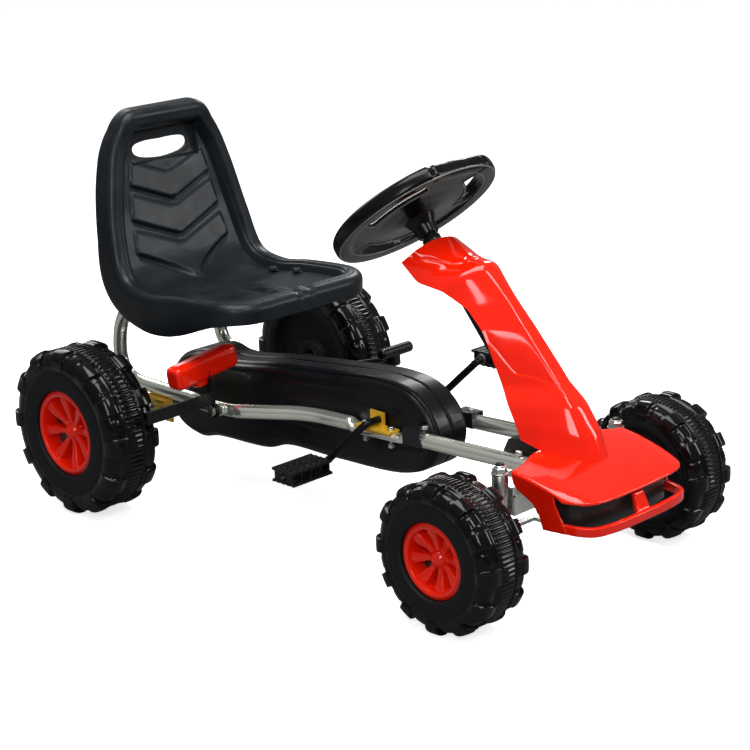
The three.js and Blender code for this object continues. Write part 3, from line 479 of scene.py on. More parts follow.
def tube(path, radius, segments=28, size=None):
    """A tube through a path; size(point) gives half width, half height, squareness and drop."""
    side = np.array([1.0, 0, 0])
    angle = around(segments)
    rows = []
    for i, point in enumerate(path):
        tangent = path[min(i + 1, len(path) - 1)] - path[max(i - 1, 0)]
        tangent = tangent / np.linalg.norm(tangent)
        side = side - tangent * side.dot(tangent)
        if np.linalg.norm(side) < 1e-3:
            side = np.array([0.0, 1, 0]) - tangent * tangent[1]
        side = side / np.linalg.norm(side)
        up = np.cross(tangent, side)
        wide, high, power, drop = size(point) if size else (radius, radius, 1, 0)
        across = squared(np.cos(angle), power) * wide
        rise = squared(np.sin(angle), power) * high
        rows.append(point + across[:, None] * side + rise[:, None] * up + (0, 0, -drop))
    return grid(rows, caps=True)


def moulded(name, shapes, voxel, rounds, look, body, carve=None, cut=()):
    """Overlapping closed shapes melted into one moulding with soft edges."""
    obj = linked(look_name(name), together(*shapes))
    melt = obj.modifiers.new("melt", "REMESH")
    melt.mode = "VOXEL"
    melt.voxel_size = voxel * MM
    soft = obj.modifiers.new("soft", "SMOOTH")
    soft.factor = 0.5
    soft.iterations = rounds
    settle(obj)
    if carve:
        carve_points(obj, carve)
    for tool in cut:
        cut_with(obj, tool)
    obj.data.shade_smooth()
    return dress(obj, name, look, body)


def carve_points(obj, carve):
    """Moves a mesh's points by carve(points) in millimetres."""
    flat = np.empty(len(obj.data.vertices) * 3)
    obj.data.vertices.foreach_get("co", flat)
    points = flat.reshape(-1, 3) / MM
    obj.data.vertices.foreach_set("co", (carve(points) * MM).ravel())
    obj.data.update()


def cut_with(obj, shape):
    """Cuts a closed shape out of an object's mesh."""
    tool = linked("tool", shape)
    mesh = tool.data
    face_outwards(mesh)
    cutter = obj.modifiers.new("cut", "BOOLEAN")
    cutter.operation = "DIFFERENCE"
    cutter.solver = "EXACT"
    cutter.object = tool
    settle(obj)
    bpy.data.objects.remove(tool)
    bpy.data.meshes.remove(mesh)


# ---------------------------------------------------------------- wheels


def tyre_line(size):
    """Groove-level section from the outboard bead round to the bore: x, radius, lug height, matte."""
    half, radius, bead = size["width"] / 2, size["radius"], size["bead"]
    outboard = [
        (-10, bead + 1.0, 0, 1),
        (half - 12, bead + 1.2, 0, 1),
        (half - 5, bead + 1.6, 0, 1),
        (half - 3.2, bead + 3.0, 0, 1),
        (half - 2.2, bead + 6.0, 0, 1),
        (half - 1.4, 0.63 * radius, 0, 1),
        (half - 1.6, 0.735 * radius, 0, 1),
        (half - 3.6, 0.748 * radius, 0, 0.5),
        (half - 3.9, 0.762 * radius, 0, 0),
        (half - 2.4, 0.785 * radius, 0.6, 0),
        (half - 3.4, 0.84 * radius, 2.6, 0),
        (half - 6.6, radius - 12.8, 5.4, 0),
        (half - 10.5, radius - 8.4, 6.4, 0),
        (half - 16, radius - 6.6, 6.4, 0),
        (21, radius - 5.8, 5.8, 0),
        (18.2, radius - 5.2, 4.0, 0),
        (17.4, radius - 2.4, 1.4, 0),
        (16.2, radius - 1.9, 0.8, 0),
        (15.0, radius - 3.6, 0.2, 0),
        (13.8, radius - 4.8, 0, 0),
    ]
    crown = [(0, radius - 4.3, 0, 0)]
    inboard = [(-x, r, lug, matte) for x, r, lug, matte in reversed(outboard[9:])]
    recess = [
        (3.6 - half, 0.76 * radius, 0, 0),
        (1.6 - half, 0.74 * radius, 0, 1),
        (1.2 - half, 0.66 * radius, 0, 1),
        (3.0 - half, 0.64 * radius, 0, 1),
        (15 - half, 0.62 * radius, 0, 1),
        (17 - half, 0.60 * radius, 0, 1),
        (19 - half, 34, 0, 1),
        (17 - half, 31, 0, 1),
        (10 - half, 29, 0, 1),
        (9 - half, 27, 0, 1),
        (9.5 - half, 14, 0, 1),
        (12 - half, 12.5, 0, 1),
        (-10, 12.5, 0, 1),
    ]
    return np.array(outboard + crown + inboard + recess, float)


def dense(line, spacing):
    """The same line with evenly split long runs, all four columns carried along."""
    made = []
    for a, b in zip(line, np.roll(line, -1, axis=0)):
        count = max(1, int(math.dist(a[:2], b[:2]) / spacing))
        made += [a + (b - a) * k / count for k in range(count)]
    return np.array(made)


def softened(line):
    """The same closed line with its corners rounded a little."""
    return (np.roll(line, 1, axis=0) + 2 * line + np.roll(line, -1, axis=0)) / 4


def tyre_shape(size):
    """The tyre's grid about +Z, outboard up, with its matte share per point."""
    radius, half = size["radius"], size["width"] / 2
    line = softened(dense(tyre_line(size), 2.2))
    angle = around(RIBS * 6)
    phase = (angle * LUGS / (2 * math.pi) + 0.5) % 1 - 0.5
    lug = 1 - ease(np.abs(phase), 0.185, 0.215)
    block = 1 - ease(np.abs(np.abs(phase) - 0.5), 0.13, 0.17)
    rib = np.array((1, 1, 1, 1, 0, 0) * RIBS, float)
    rib = (np.roll(rib, 1) + 4 * rib + np.roll(rib, -1)) / 6
    rows = []
    for i, (x, r, height, _) in enumerate(line):
        before, after = line[i - 1][:2], line[(i + 1) % len(line)][:2]
        run = (after - before) / max(math.dist(after, before), 1e-6)
        shoulder = ease(r, 0.80 * radius, 0.86 * radius) * ease(abs(x), 24, 27)
        out = height * lug + 0.9 * shoulder * block * ease(abs(x), 25, 28) * (1 - ease(abs(x), 37, 39))
        rise = (1 - ease(abs(x), 12.6, 13.6)) * (r > 0.8 * radius) * 1.9 * rib
        across = np.clip(x + run[1] * out * (r > 0.7 * radius), -half, half)
        rows.append(circle(angle, np.minimum(r + abs(run[0]) * out + rise, radius), across))
    return grid(rows, wrap_rows=True), np.repeat(line[:, 3], len(angle))


def to_wheel(size, sign):
    """Turns a shape about +Z to its wheel's place, outboard side outwards and a lug at the bottom."""
    return placed(sign * size["x"], size["y"], size["z"], sign * math.pi / 2, "Y")


def add_tyre(node, size, turn, body):
    shape, matte = tyre_shape(size)
    obj = linked(look_name(node), moved(shape, turn))
    attribute = obj.data.attributes.new("matte", "FLOAT", "POINT")
    attribute.data.foreach_set("value", matte.astype(np.float32))
    face_outwards(obj.data)
    obj.data.shade_smooth()
    obj.data.set_sharp_from_angle(angle=math.radians(52))
    dress(obj, node, "tyre", body)


def hub_face(size):
    return size["width"] / 2 - HUB_INSET


def hub_shape(size):
    """Red hub about +Z: smooth outer ring, deep dish and eight ribbed spokes rising to the middle."""
    face, bead = hub_face(size), size["bead"]
    angle = around(360)
    radii = np.concatenate([np.linspace(HUB_BORE, bead - 13, 40), np.linspace(bead - 12.5, bead - 0.2, 34)])
    phase = (angle * SPOKES / (2 * math.pi) + 0.3) % 1 - 0.5
    rows = []
    for r in radii:
        floor = face - 33 + 2 * ease(r, 16, bead - 12)
        ring_top = face + 1 - 2.2 * ((r - (bead - 4)) / 5) ** 2 * (r < bead - 4) - 0.6 * max(0, r - bead + 4)
        wall = ease(r, bead - 12.5, bead - 8.5)
        base = floor + (ring_top - floor) * wall
        away = np.abs(phase) * 2 * math.pi / SPOKES * r
        wide = 5.0 + 3.0 * ease(r, 18, bead - 12)
        rib = 1 - ease(away, wide - 1.2, wide + 2.4)
        top = face - 13 + 7.5 * ease(r, 14, bead - 8) - 1.6 * (away / wide) ** 2
        height = np.maximum(base, base + (top - base) * rib * (top > base))
        boss = 1 - ease(r, 15.5, 20)
        rows.append(circle(angle, r, np.maximum(height, floor + (face - 19.8 - floor) * boss)))
    for r, x in ((bead + 0.5, face - 1.6), (bead + 0.6, face - 4), (bead + 0.6, -9.6), (HUB_BORE, -9.6)):
        rows.append(circle(angle, r, x))
    return grid(rows, wrap_rows=True)


def cap_shape(size):
    """The domed cap over the axle's end, with its bore."""
    base = hub_face(size) - 20 + 0.3
    dome = [(0, HUB_BORE), (0, 15), (1.2, 15.4), (2.4, 15), (5, 13.6), (8, 12), (10.5, 10), (13, 7.2),
            (14.8, 4.2), (15.7, 1.8), (16, 0.2)]
    inside = [(12, 0.2), (11.6, HUB_BORE)]
    return ring([(base + x, r) for x, r in dome + inside], segments=48)


def shade_disc_shape(size):
    """A dark disc in front of the hub's dish floor, seen through the gaps between the spokes: painted shade
    in these gaps.
    """
    floor, reach = hub_face(size) - 25, size["bead"] - 11.6
    return ring([(floor - 1.5, 20), (floor, 20), (floor, reach), (floor - 1.5, reach)], segments=96)


def add_wheels():
    for place, size in (("rear", REAR), ("front", FRONT)):
        for side, sign in SIDES:
            end = f"{place}_{side}"
            body = "rear_axle" if end == "rear_right" else end + "_wheel"
            turn = to_wheel(size, sign)
            add_tyre("tyre_" + end, size, turn, body)
            piece("hub_" + end, moved(hub_shape(size), turn), "red", body, crease=60)
            piece("hub_cap_" + end, moved(cap_shape(size), turn), "red", body)
            # a dark disc that paints the shade in the gaps between the hub's spokes
            piece("hub_shade_disc_" + end, moved(shade_disc_shape(size), turn), "black", body, crease=50)


# ---------------------------------------------------------------- tubes


def rail_height(y):
    slope = (RAIL["front_z"] - RAIL["rear_z"]) / (RAIL["rear_y"] - RAIL["front_y"])
    return RAIL["front_z"] - (y - RAIL["front_y"]) * slope


def main_rail(sign):
    """A rail with its pressed flat by the crank and its flattened end at the side joint."""
    tongue_x = SEAT_TUBE_X - 2.65
    corners = [
        (sign * RAIL["x"], RAIL["front_y"], rail_height(RAIL["front_y"])),
        (sign * RAIL["x"], RAIL["bend_y"], rail_height(RAIL["bend_y"])),
        (sign * tongue_x, 208, PIVOT_Z + 3),
        (sign * tongue_x, 254, PIVOT_Z + 2),
    ]
    path = finer(bent_path(corners, 40), 4)

    def size(point):
        y = point[1]
        dent = float(ease(y, -124, -110) * (1 - ease(y, -18, -4)))
        flat = float(ease(y, 186, 214))
        tip = 1 - 0.45 * float(ease(y, 247, 254))
        wide = (TUBE_RADIUS * (1 + 0.12 * dent)) * (1 - flat) + 2.5 * flat
        high = (TUBE_RADIUS * (1 - 0.45 * dent)) * (1 - flat) + 10 * flat * tip
        return wide, high, 1 - 0.45 * flat - 0.2 * dent, 5 * dent

    return tube(path, TUBE_RADIUS, size=size)


def seat_run_height(y):
    return 297.5 - (y - 300) * 0.06


def seat_tube(sign):
    """A tube from the side joint back over the axle, up and forward again under the seat."""
    x = sign * SEAT_TUBE_X
    corners = [
        (sign * (SEAT_TUBE_X + 2.65), 221, PIVOT_Z + 2),
        (sign * (SEAT_TUBE_X + 2.65), 262, PIVOT_Z + 2),
        (x, 292, 154),
        (x, 480, 156),
        (x, 462, 282),
        (x, 200, seat_run_height(200)),
    ]
    first = bent_path(corners[:3], 10, 6)
    rest = bent_path(corners[2:], 62, 18)
    path = finer(np.concatenate([first, rest[1:]]), 4)

    def size(point):
        near = point[2] < 170
        flat = float(1 - ease(point[1], 262, 288)) if near else 0.0
        tip = 1 - 0.45 * float(1 - ease(point[1], 221, 228)) if near else 1
        wide = TUBE_RADIUS * (1 - flat) + 2.4 * flat
        high = TUBE_RADIUS * (1 - flat) + 10 * flat * tip
        return wide, high, 1 - 0.45 * flat, 0

    return tube(path, TUBE_RADIUS, size=size)


def add_tubes():
    for side, sign in SIDES:
        piece("main_rail_" + side, main_rail(sign), "silver", "frame", crease=70)
        piece("seat_tube_" + side, seat_tube(sign), "silver", "frame", crease=70)


# ---------------------------------------------------------------- seat

SEAT_LINE = [(442, 582), (445, 535), (437, 480), (421, 400), (396, 338), (345, 324), (280, 330), (195, 334),
             (135, 331)]
SEAT_POINTS, SEAT_LENGTH = curve(SEAT_LINE, 1200)
SEAT_REACH = np.linspace(0, SEAT_LENGTH, 1200)
SEAT_ROLL, SEAT_RECESS, SEAT_RIM = 14, 15, 30


def corner_cut(reach, radius):
    inside = np.clip(radius - reach, 0, radius)
    return radius - np.sqrt(radius**2 - inside**2)


def seat_half(along):
    widening = np.clip((along - 30) / 270, 0, 1)
    back = 151 + (106 - 151) * (1 - widening) ** 2
    return back - 0.64 * corner_cut(along, 72) - corner_cut(SEAT_LENGTH - along, 60)


def seat_skirt(along):
    lower = 10 * ease(along, 0, 110) + 24 * ease(along, 150, 350)
    return 16 + lower * (1 - ease(along, 350, SEAT_LENGTH))


def seat_height(along):
    return np.interp(along, SEAT_REACH, SEAT_POINTS[:, 1])


def seat_pads(along, x):
    """Three raised V pads on the back, each with a crisp groove under it."""
    z = seat_height(along)
    side = np.abs(x)
    rise = 0 * z
    for top, bottom, half_top, half_low in ((481, 438, 73, 82), (427, 383, 83, 90), (371, 331, 89, 95)):
        lower = bottom + 0.40 * np.maximum(side - 6, 0)
        upper = top + 0.34 * np.maximum(side - 6, 0) ** 1.02
        reach = half_low + (half_top - half_low) * np.clip((z - lower) / 44, 0, 1)
        tall = ease(z, lower, lower + 3) * (1 - ease(z, upper - 5, upper))
        inside = tall * (1 - ease(side, reach - 4, reach))
        slope = 0.55 + 0.45 * np.clip((upper - z) / 40, 0, 1)
        rise = rise + 4.6 * inside * slope
        near = 1 - ease(side, reach - 8, reach - 2)
        rise = rise - 2.2 * (bell(z - lower + 2.2, 2.4) * near) + 1.5 * (bell(z - upper + 1, 2.0) * near)
    return rise


def seat_pocket(along, x):
    """The finger pocket over the hand hole."""
    z = seat_height(along)
    side = np.abs(x)
    wide = 1 - ease(side, 64, 70)
    tall = ease(z, 497, 501) * (1 - ease(z, 541, 548))
    return 11.0 * wide * tall


SKIRT_LEVELS = np.array([0.1, 0.35, 0.65, 0.9, 0.97, 1.0])


def edge_distance(along, x, line_along, half):
    """Distance of each point to the seat's outline on the unrolled sheet."""
    there_and_back = np.concatenate([line_along, line_along[::-1]])
    border = np.column_stack([there_and_back, np.concatenate([half, -half[::-1]])])
    return distance_to(border, np.column_stack([along.ravel(), x.ravel()])).reshape(along.shape)


def lay_on_seat(along, x, depth):
    """Places points of the unrolled sheet on the seat's side line, sunk in by their depth."""
    def line_at(reach, k):
        return np.interp(reach, SEAT_REACH, SEAT_POINTS[:, k])

    y, z = line_at(along, 0), line_at(along, 1)
    run_y, run_z = (line_at(along + 1, k) - line_at(along - 1, k) for k in (0, 1))
    size = np.hypot(run_y, run_z)
    return np.stack([x, y - run_z / size * depth, z + run_y / size * depth], -1)


def seat_surface(inset, front):
    """Grid of the seat's skin, set in by the wall; rows from the top of the back to the pan's front."""
    near = np.linspace(0, 1, 22)[:-1] ** 1.4 * 34
    along = np.concatenate([near, np.linspace(34, SEAT_LENGTH - 34, 210), SEAT_LENGTH - near[::-1]])
    along = inset + along * (SEAT_LENGTH - 2 * inset) / SEAT_LENGTH
    share = np.linspace(-1, 1, 160)
    share = np.sin(share * math.pi / 2) * 0.5 + share * 0.5
    half = seat_half(along) - inset
    levels = len(SKIRT_LEVELS)
    row = np.concatenate([np.full(levels, along[0]), along, np.full(levels, along[-1])])
    column = np.concatenate([-np.ones(levels), share, np.ones(levels)])
    drop_row = np.concatenate([SKIRT_LEVELS[::-1], 0 * along, SKIRT_LEVELS])
    drop_column = np.concatenate([SKIRT_LEVELS[::-1], 0 * share, SKIRT_LEVELS])
    a, u = np.meshgrid(row, column, indexing="ij")
    drop = np.maximum(drop_row[:, None], drop_column[None, :])
    x = np.interp(a, along, half) * u
    edge = edge_distance(a, x, along, half)
    radius = SEAT_ROLL - inset
    roll = np.clip(radius - edge, 0, None)
    depth = SEAT_ROLL - np.sqrt(np.maximum(0, radius**2 - roll**2))
    depth = depth + SEAT_RECESS * ease(edge, SEAT_RIM - 6, SEAT_RIM + 6)
    depth = depth - 0.8 * np.exp(-(((edge - SEAT_RIM + 9) / 3.5) ** 2))
    depth = depth - (seat_pads(a, x) if front else 0) + seat_pocket(a, x)
    depth = np.where(drop > 0, SEAT_ROLL + drop * seat_skirt(a), depth)
    tuck = np.clip(drop - 0.9, 0, None) * 12
    return lay_on_seat(a, x * (1 - tuck / 150), depth)


def rounded_slot(half, high, power=2.6, count=64):
    angle = around(count)
    return np.stack([squared(np.cos(angle), 2 / power) * half, squared(np.sin(angle), 2 / power) * high], 1)


def soft_block(wide, deep, power, levels, count=48):
    """A rounded block about +Z from [height, share of its full section] levels."""
    rows = [np.column_stack([rounded_slot(wide * share, deep * share, power, count), np.full(count, z)])
            for z, share in levels]
    return grid(rows, caps=True)


def hand_hole():
    """A tapered cutter through the back, its top edge straighter than its bottom."""
    flat = rounded_slot(55, 15.5)
    flat[:, 1] *= np.where(flat[:, 1] > 0, 0.85, 1.0)
    flat[:, 1] += 514 + 0.05 * np.abs(flat[:, 0])
    rows = [np.stack([flat[:, 0], np.full(len(flat), y), flat[:, 1]], 1) for y in (400, 500)]
    return grid(rows, caps=True)


def add_seat():
    seat = piece("seat", shell(seat_surface(0, True), seat_surface(4, False)), "seat", "frame", crease=50)
    cut_with(seat, hand_hole())
    for sign in (-1, 1):
        for _, y in SEAT_BOLTS:
            slot = prism(rounded_slot(4, 8, 3.0, 24), 280, 360)
            cut_with(seat, at(slot, sign * SEAT_TUBE_X, y, 0))
    seat.data.set_sharp_from_angle(angle=math.radians(40))


# ---------------------------------------------------------------- column cover and nose

COVER = [
    ((-142, 451), (62, -125, 426), 0.30, 0.0),
    ((-192, 431), (65, -158, 403), 0.26, 0.0),
    ((-232, 430), (57, -197, 395), 0.16, 0.3),
    ((-276, 384), (47, -234, 374), 0.18, 0.9),
    ((-309, 348), (47, -261, 347), 0.22, 1.0),
    ((-370, 280), (48, -296, 277), 0.26, 1.0),
    ((-393, 258), (55, -311, 256), 0.34, 0.4),
    ((-416, 225), (58, -326, 234), 0.34, 0.2),
    ((-437, 172), (60, -338, 213), 0.34, 0.2),
]


def eased_rows(rows, spread):
    """Rounds the corners between rows, the first and last rows kept."""
    reach = int(3 * spread)
    weights = np.exp(-0.5 * (np.arange(-reach, reach + 1) / spread) ** 2)
    weights /= weights.sum()
    ends = [np.repeat(rows[:1] * 2, reach, 0) - rows[1 : reach + 1][::-1],
            np.repeat(rows[-1:] * 2, reach, 0) - rows[-reach - 1 : -1][::-1]]
    padded = np.concatenate([ends[0], rows, ends[1]])
    return np.stack([np.convolve(column, weights, "valid") for column in padded.T], 1)


def cover_surface(inset):
    """Grid of the cover's skin from its top down to the nose."""
    rows = np.array([[*crown, *edge, flat, straight] for crown, edge, flat, straight in COVER], float)
    given = np.concatenate([[0], np.cumsum(np.linalg.norm(np.diff(rows[:, :2], axis=0), axis=1))])
    fine = np.linspace(0, given[-1], 240)
    line = eased_rows(np.stack([np.interp(fine, given, column) for column in rows.T], 1), 3.0)
    across = np.sin(np.linspace(-0.5, 0.5, 97) * math.pi)
    made = []
    for crown_y, crown_z, edge_x, edge_y, edge_z, flat, straight in line:
        past = np.abs(across) - flat
        hinge = past + np.sqrt(past**2 + 0.0025)
        sink = straight * (hinge - hinge.min()) / (hinge.max() - hinge.min())
        sink = sink + (1 - straight) * np.abs(across) ** 2.3
        y = (crown_y + 0.7 * inset) * (1 - sink) + edge_y * sink
        z = (crown_z - 0.7 * inset) * (1 - sink) + edge_z * sink
        made.append(np.stack([(edge_x - inset) * across, y, z], 1))
    made = np.array(made)
    normal = unit(np.cross(np.gradient(made, axis=0), np.gradient(made, axis=1)))
    if normal[120, 48, 1] > 0:
        normal = -normal
    return made + normal * cover_relief(made)[..., None]


def cover_relief(points):
    """The pad around the column, its groove, and the step where the neck meets the wide base."""
    x, y, z = np.abs(points[..., 0]), points[..., 1], points[..., 2]
    past = y + 200 - 50 * ease(x, 20, 46)
    pad = ease(past, -1, 2) * (1 - ease(x, 44, 50))
    groove = bell(past + 3.5, 2.6) * (1 - ease(x, 38, 46))
    over = z - 279 - 14 * ease(x, 8, 30) - 40 * ease(x, 34, 46)
    step = ease(over, -2, 2) * np.exp(-np.maximum(over, 0) / 12) * (1 - ease(x, 44, 48))
    return 1.0 * pad - 1.0 * groove - 0.9 * step


NOSE = {"half": 118, "wall": 4, "plate_y": -492, "lip_y": -505, "lip_z": 129, "lip_high": 13, "lip_half": 112,
        "band_rear": -425}
NOSE_MIDDLE = [203, 199, 195, 190, 185, 179, 173, 165.5]
NOSE_SIDE = [192, 190, 188, 185, 182, 179, 175, 170]


def nose_top(lift, margin=0.0, rows=44, columns=81):
    made = []
    for along in np.linspace(0, 1, rows):
        x = (NOSE["half"] - 2 - margin) * np.sin(np.linspace(-0.5, 0.5, columns) * math.pi)
        front = NOSE["plate_y"] + 42 * np.abs(x / NOSE["half"]) ** 9 + margin
        rear = -360 - 10 * ease(np.abs(x), 60, 100) - margin
        where = along * (len(NOSE_MIDDLE) - 1)
        middle = np.interp(where, range(len(NOSE_MIDDLE)), NOSE_MIDDLE)
        side = np.interp(where, range(len(NOSE_SIDE)), NOSE_SIDE)
        y = rear + (front - rear) * along**0.85
        share = (x / NOSE["half"]) ** 2
        made.append(np.stack([x, y, middle + (side - middle) * share + lift], 1))
    return np.array(made)


def nose_band(side_inset, front_inset, thick, low, high):
    """A band that follows the front of the nose in plan."""
    half = NOSE["lip_half"] - side_inset
    front = NOSE["lip_y"] + front_inset
    path = [(-half, NOSE["band_rear"]), (-half + 1, front + 50), (-half + 6, front + 27),
            (-half + 18, front + 11), (-half + 42, front + 3), (0, front)]
    whole = np.array(path + [(-x, y) for x, y in reversed(path[:-1])], float)
    line, _ = curve(whole, 90)
    run = unit(np.gradient(line, axis=0))
    inner = line + np.stack([-run[:, 1], run[:, 0]], 1) * thick
    rows = [[(*a, low), (*a, high), (*b, high), (*b, low)] for a, b in zip(line, inner)]
    return grid(rows, caps=True)


def nose_cheek(sign):
    """A side wall of the nose, leaning in from the plate's edge to the lip."""
    top = NOSE_SIDE[0] - 1
    lip_z, high = NOSE["lip_z"], NOSE["lip_high"] / 2
    outline = [(-370, top), (-372, 175), (-380, 166), (-402, 155), (-413, 140), (-418, lip_z - high - 3),
               (-458, lip_z - high), (-455, lip_z + high - 1), (-448, 148), (-442, 163), (-441, 176),
               (-405, 185)]
    points, faces = side_plate(outline, sign * (NOSE["half"] - NOSE["wall"]), sign * NOSE["half"])
    draft = sign * (NOSE["half"] - NOSE["lip_half"]) / (top - lip_z)
    points = np.array(points)
    points[:, 0] += (points[:, 2] - top) * draft
    return points, faces


def add_cover_and_nose():
    skin = shell(cover_surface(0), cover_surface(3))
    cover = piece("column_cover", skin, "red", "frame", crease=55)
    cut_with(cover, shell(nose_top(0.4, -3), nose_top(-70, -3)))
    cover.data.set_sharp_from_angle(angle=math.radians(50))
    low, high = NOSE["lip_z"] - NOSE["lip_high"] / 2, NOSE["lip_z"] + NOSE["lip_high"] / 2
    tab = grid([[(-wide, y, z), (wide, y, z), (wide, y + 8, z), (-wide, y + 8, z)]
                for wide, y, z in ((13.5, -502, 125), (12.5, -500, 136), (9.5, -491, 159))], caps=True)
    parts = [shell(nose_top(0), nose_top(-NOSE["wall"])), nose_cheek(-1), nose_cheek(1),
             nose_band(0, 0, 8, low, high), tab]
    moulded("nose_fairing", parts, 1.3, 5, "red", "frame")
    panel = nose_band(10.5, 24.5, 2.4, NOSE["lip_z"] - 5, 173)
    grille = piece("grille_panel", panel, "black", "frame", crease=50)
    cut_with(grille, shell(nose_top(60, -4), nose_top(-NOSE["wall"] - 0.5, -4)))


# ---------------------------------------------------------------- chain case

CASE_OUTLINE = [(440, 126), (434, 156), (403, 190), (343, 208), (300, 201), (186, 215), (67, 227), (-55, 236),
                (-108, 227), (-145, 198), (-157, 163), (-140, 122), (-90, 99), (51, 89), (165, 86), (210, 72),
                (330, 65), (372, 57), (422, 76)]
CASE_LINE, _ = curve(CASE_OUTLINE, 260, closed=True)


def case_ring(x, inset):
    """The case's outline, set in, at a distance from the middle."""
    run = unit(np.roll(CASE_LINE, -1, axis=0) - np.roll(CASE_LINE, 1, axis=0))
    inward = np.stack([-run[:, 1], run[:, 0]], 1)
    if ((CASE_LINE.mean(axis=0) - CASE_LINE) * inward).sum() < 0:
        inward = -inward
    flat = CASE_LINE + inward * inset
    return np.column_stack([np.full(len(flat), x), flat])


def case_relief(points):
    """Nested arches on the sides and a fine parting groove down the middle."""
    depth = distance_to(CASE_LINE, points[:, 1:])
    x, y, z = points[:, 0], points[:, 1], points[:, 2]
    side = ease(np.abs(x), 31, 36)
    arch = (1 - ease(y, 60, 260)) * ease(z + 0.10 * y, 128, 160)
    sunk = 2.8 * (1 - ease(depth, 24, 27)) + 2.2 * (1 - ease(depth, 41, 44))
    crease = 1.4 * bell(depth - 4, 1.6) * ease(z + 0.05 * y, 168, 190)
    made = points.copy()
    made[:, 0] = x - np.sign(x) * side * (arch * sunk + crease)
    parting = 0.9 * bell(x, 0.9) * (1 - ease(depth, 1, 4))
    centre = CASE_LINE.mean(axis=0)
    pull = np.stack([0 * x, centre[0] - y, centre[1] - z], 1)
    pull /= np.maximum(np.linalg.norm(pull, axis=1), 1)[:, None]
    return made + pull * parting[:, None]


def add_case():
    """Both halves of the chain case as one solid moulding each, arches pressed into their sides."""
    profile = [(0.15, 0.0), (27, 0.0), (29.5, 0.6), (31, 2.2), (34, 4.2), (38, 7.4), (40.2, 10.5), (40.9, 14)]
    for side, sign in SIDES:
        rows = [case_ring(sign * x, inset) for x, inset in profile]
        holes = [turned([(-60, radius), (60, radius)], "x", 32, sign * 20, y, z)
                 for radius, y, z in ((7, CRANK_Y, CRANK_Z), (9, REAR["y"], REAR["z"]))]
        moulded("case_half_" + side, [grid(rows, caps=True)], 1.9, 2, "case", "frame", case_relief, holes)


# ---------------------------------------------------------------- steering wheel


def on_column(shape):
    return moved(shape, placed(0, COLUMN_Y, COLUMN_Z, RAKE - math.pi / 2, "X"))


def wheel_rim():
    """A deep rim with a square lower edge; at the top it runs straight between two notches."""
    radius, thickest, corner = WHEEL_RIM["radius"], WHEEL_RIM["thick"], WHEEL_RIM["corner"]
    turn = around(32)
    square = np.where(np.sin(turn) < 0, 0.45, 0.9)
    rows = []
    for angle in around(216):
        off = abs((angle + math.pi / 2 + math.pi) % (2 * math.pi) - math.pi)
        top = 1 - float(ease(off, 0.40, 0.43))
        notch = math.exp(-(((off - corner) / 0.022) ** 2))
        straight = radius * math.cos(corner) / max(math.cos(off), 0.5) - radius
        shift = top * max(min(straight, 0), -9.5)
        thick = thickest - 2.0 * notch - 0.6 * top
        reach = radius - thickest - 1.5 * notch + shift + squared(np.cos(turn), square) * thick
        rise = squared(np.sin(turn), square) * thick
        rows.append(np.stack([reach * math.cos(angle), reach * math.sin(angle), rise], 1))
    return grid(rows, wrap_rows=True)


def window_line(grow):
    """Outline of a slot window about +Y: two arcs with round corners."""
    inner, outer, half = 79 - grow, 103 + grow, math.radians(35) + grow / 91
    made = []
    for t in around(72):
        u, v = squared(math.cos(t), 0.4), squared(math.sin(t), 0.4)
        radius = (inner + outer) / 2 + v * (outer - inner) / 2
        angle = math.pi / 2 + u * half * (1 - 0.10 * (v + 1))
        made.append((radius * math.cos(angle), radius * math.sin(angle)))
    return np.array(made)


def wheel_plate():
    """Dished plate between boss and rim, swelling to a cone at the boss."""
    line = [(-22, 17), (-17.5, 24), (-13.5, 40), (-10.5, 62), (-8, 108), (-4, 108), (-6.5, 62), (-9, 40),
            (-11, 17)]
    return turned(line[::-1], "z", 120)


def thirds(shape):
    """The same shape three times about the column."""
    return [moved(shape, Matrix.Rotation(i * 2 * math.pi / 3, 4, "Z")) for i in range(3)]


def wheel_lips():
    """Thin raised lips round the windows, under the rim and on its lower edge, in a paler grey that paints
    highlights along these edges.
    """
    made = [at(torus(123.4, 1.3, 200, 12), 0, 0, -11.0), at(torus(106, 1.3, 200, 12), 0, 0, -10.8)]
    flat = window_line(2.2)
    both = []
    for low in (-11.4, -4.4):
        path = np.column_stack([flat, low + 0.07 * (np.linalg.norm(flat, axis=1) - 60)])
        both.append(grid(lip_rows(path, 1.25), wrap_rows=True))
    for pair in zip(*(thirds(lip) for lip in both)):
        made += pair
    return made


def lip_rows(path, radius, sides=10):
    """Rings of a thin round lip along a closed line."""
    turn = around(sides)
    run = unit(np.roll(path, -1, axis=0) - np.roll(path, 1, axis=0))
    side = unit(np.cross(run, (0, 0, 1.0)))
    up = np.cross(side, run)
    return [p + radius * (np.cos(turn)[:, None] * a + np.sin(turn)[:, None] * b)
            for p, a, b in zip(path, side, up)]


def add_steering_wheel():
    flare = [(-46, 14.6), (-45, 15.6), (-30, 17.5), (-16, 24), (-8, 31), (-4, 33.5), (-2.5, 33)]
    boss = turned(flare, "z", 60)
    hollow = turned([(-60, 9.3), (-13, 9.3)], "z", 40)
    horn = turned([(-6, 27), (0, 27), (2, 25.5), (3, 22), (3.4, 12), (3.5, 2)], "z", 60)
    shapes = [on_column(part) for part in (wheel_rim(), boss, horn, wheel_plate())]
    tools = [on_column(tool) for tool in [hollow] + thirds(prism(window_line(0), -30, 30))]
    wheel = moulded("steering_wheel", shapes, 1.35, 3, "wheel", "steering", cut=tools)
    wheel.data.set_sharp_from_angle(angle=math.radians(50))
    # the lips' pale grey paints highlights along the wheel's edges
    piece("steering_wheel_lips", on_column(together(*wheel_lips())), "lip", "steering", crease=60)


# ---------------------------------------------------------------- fasteners


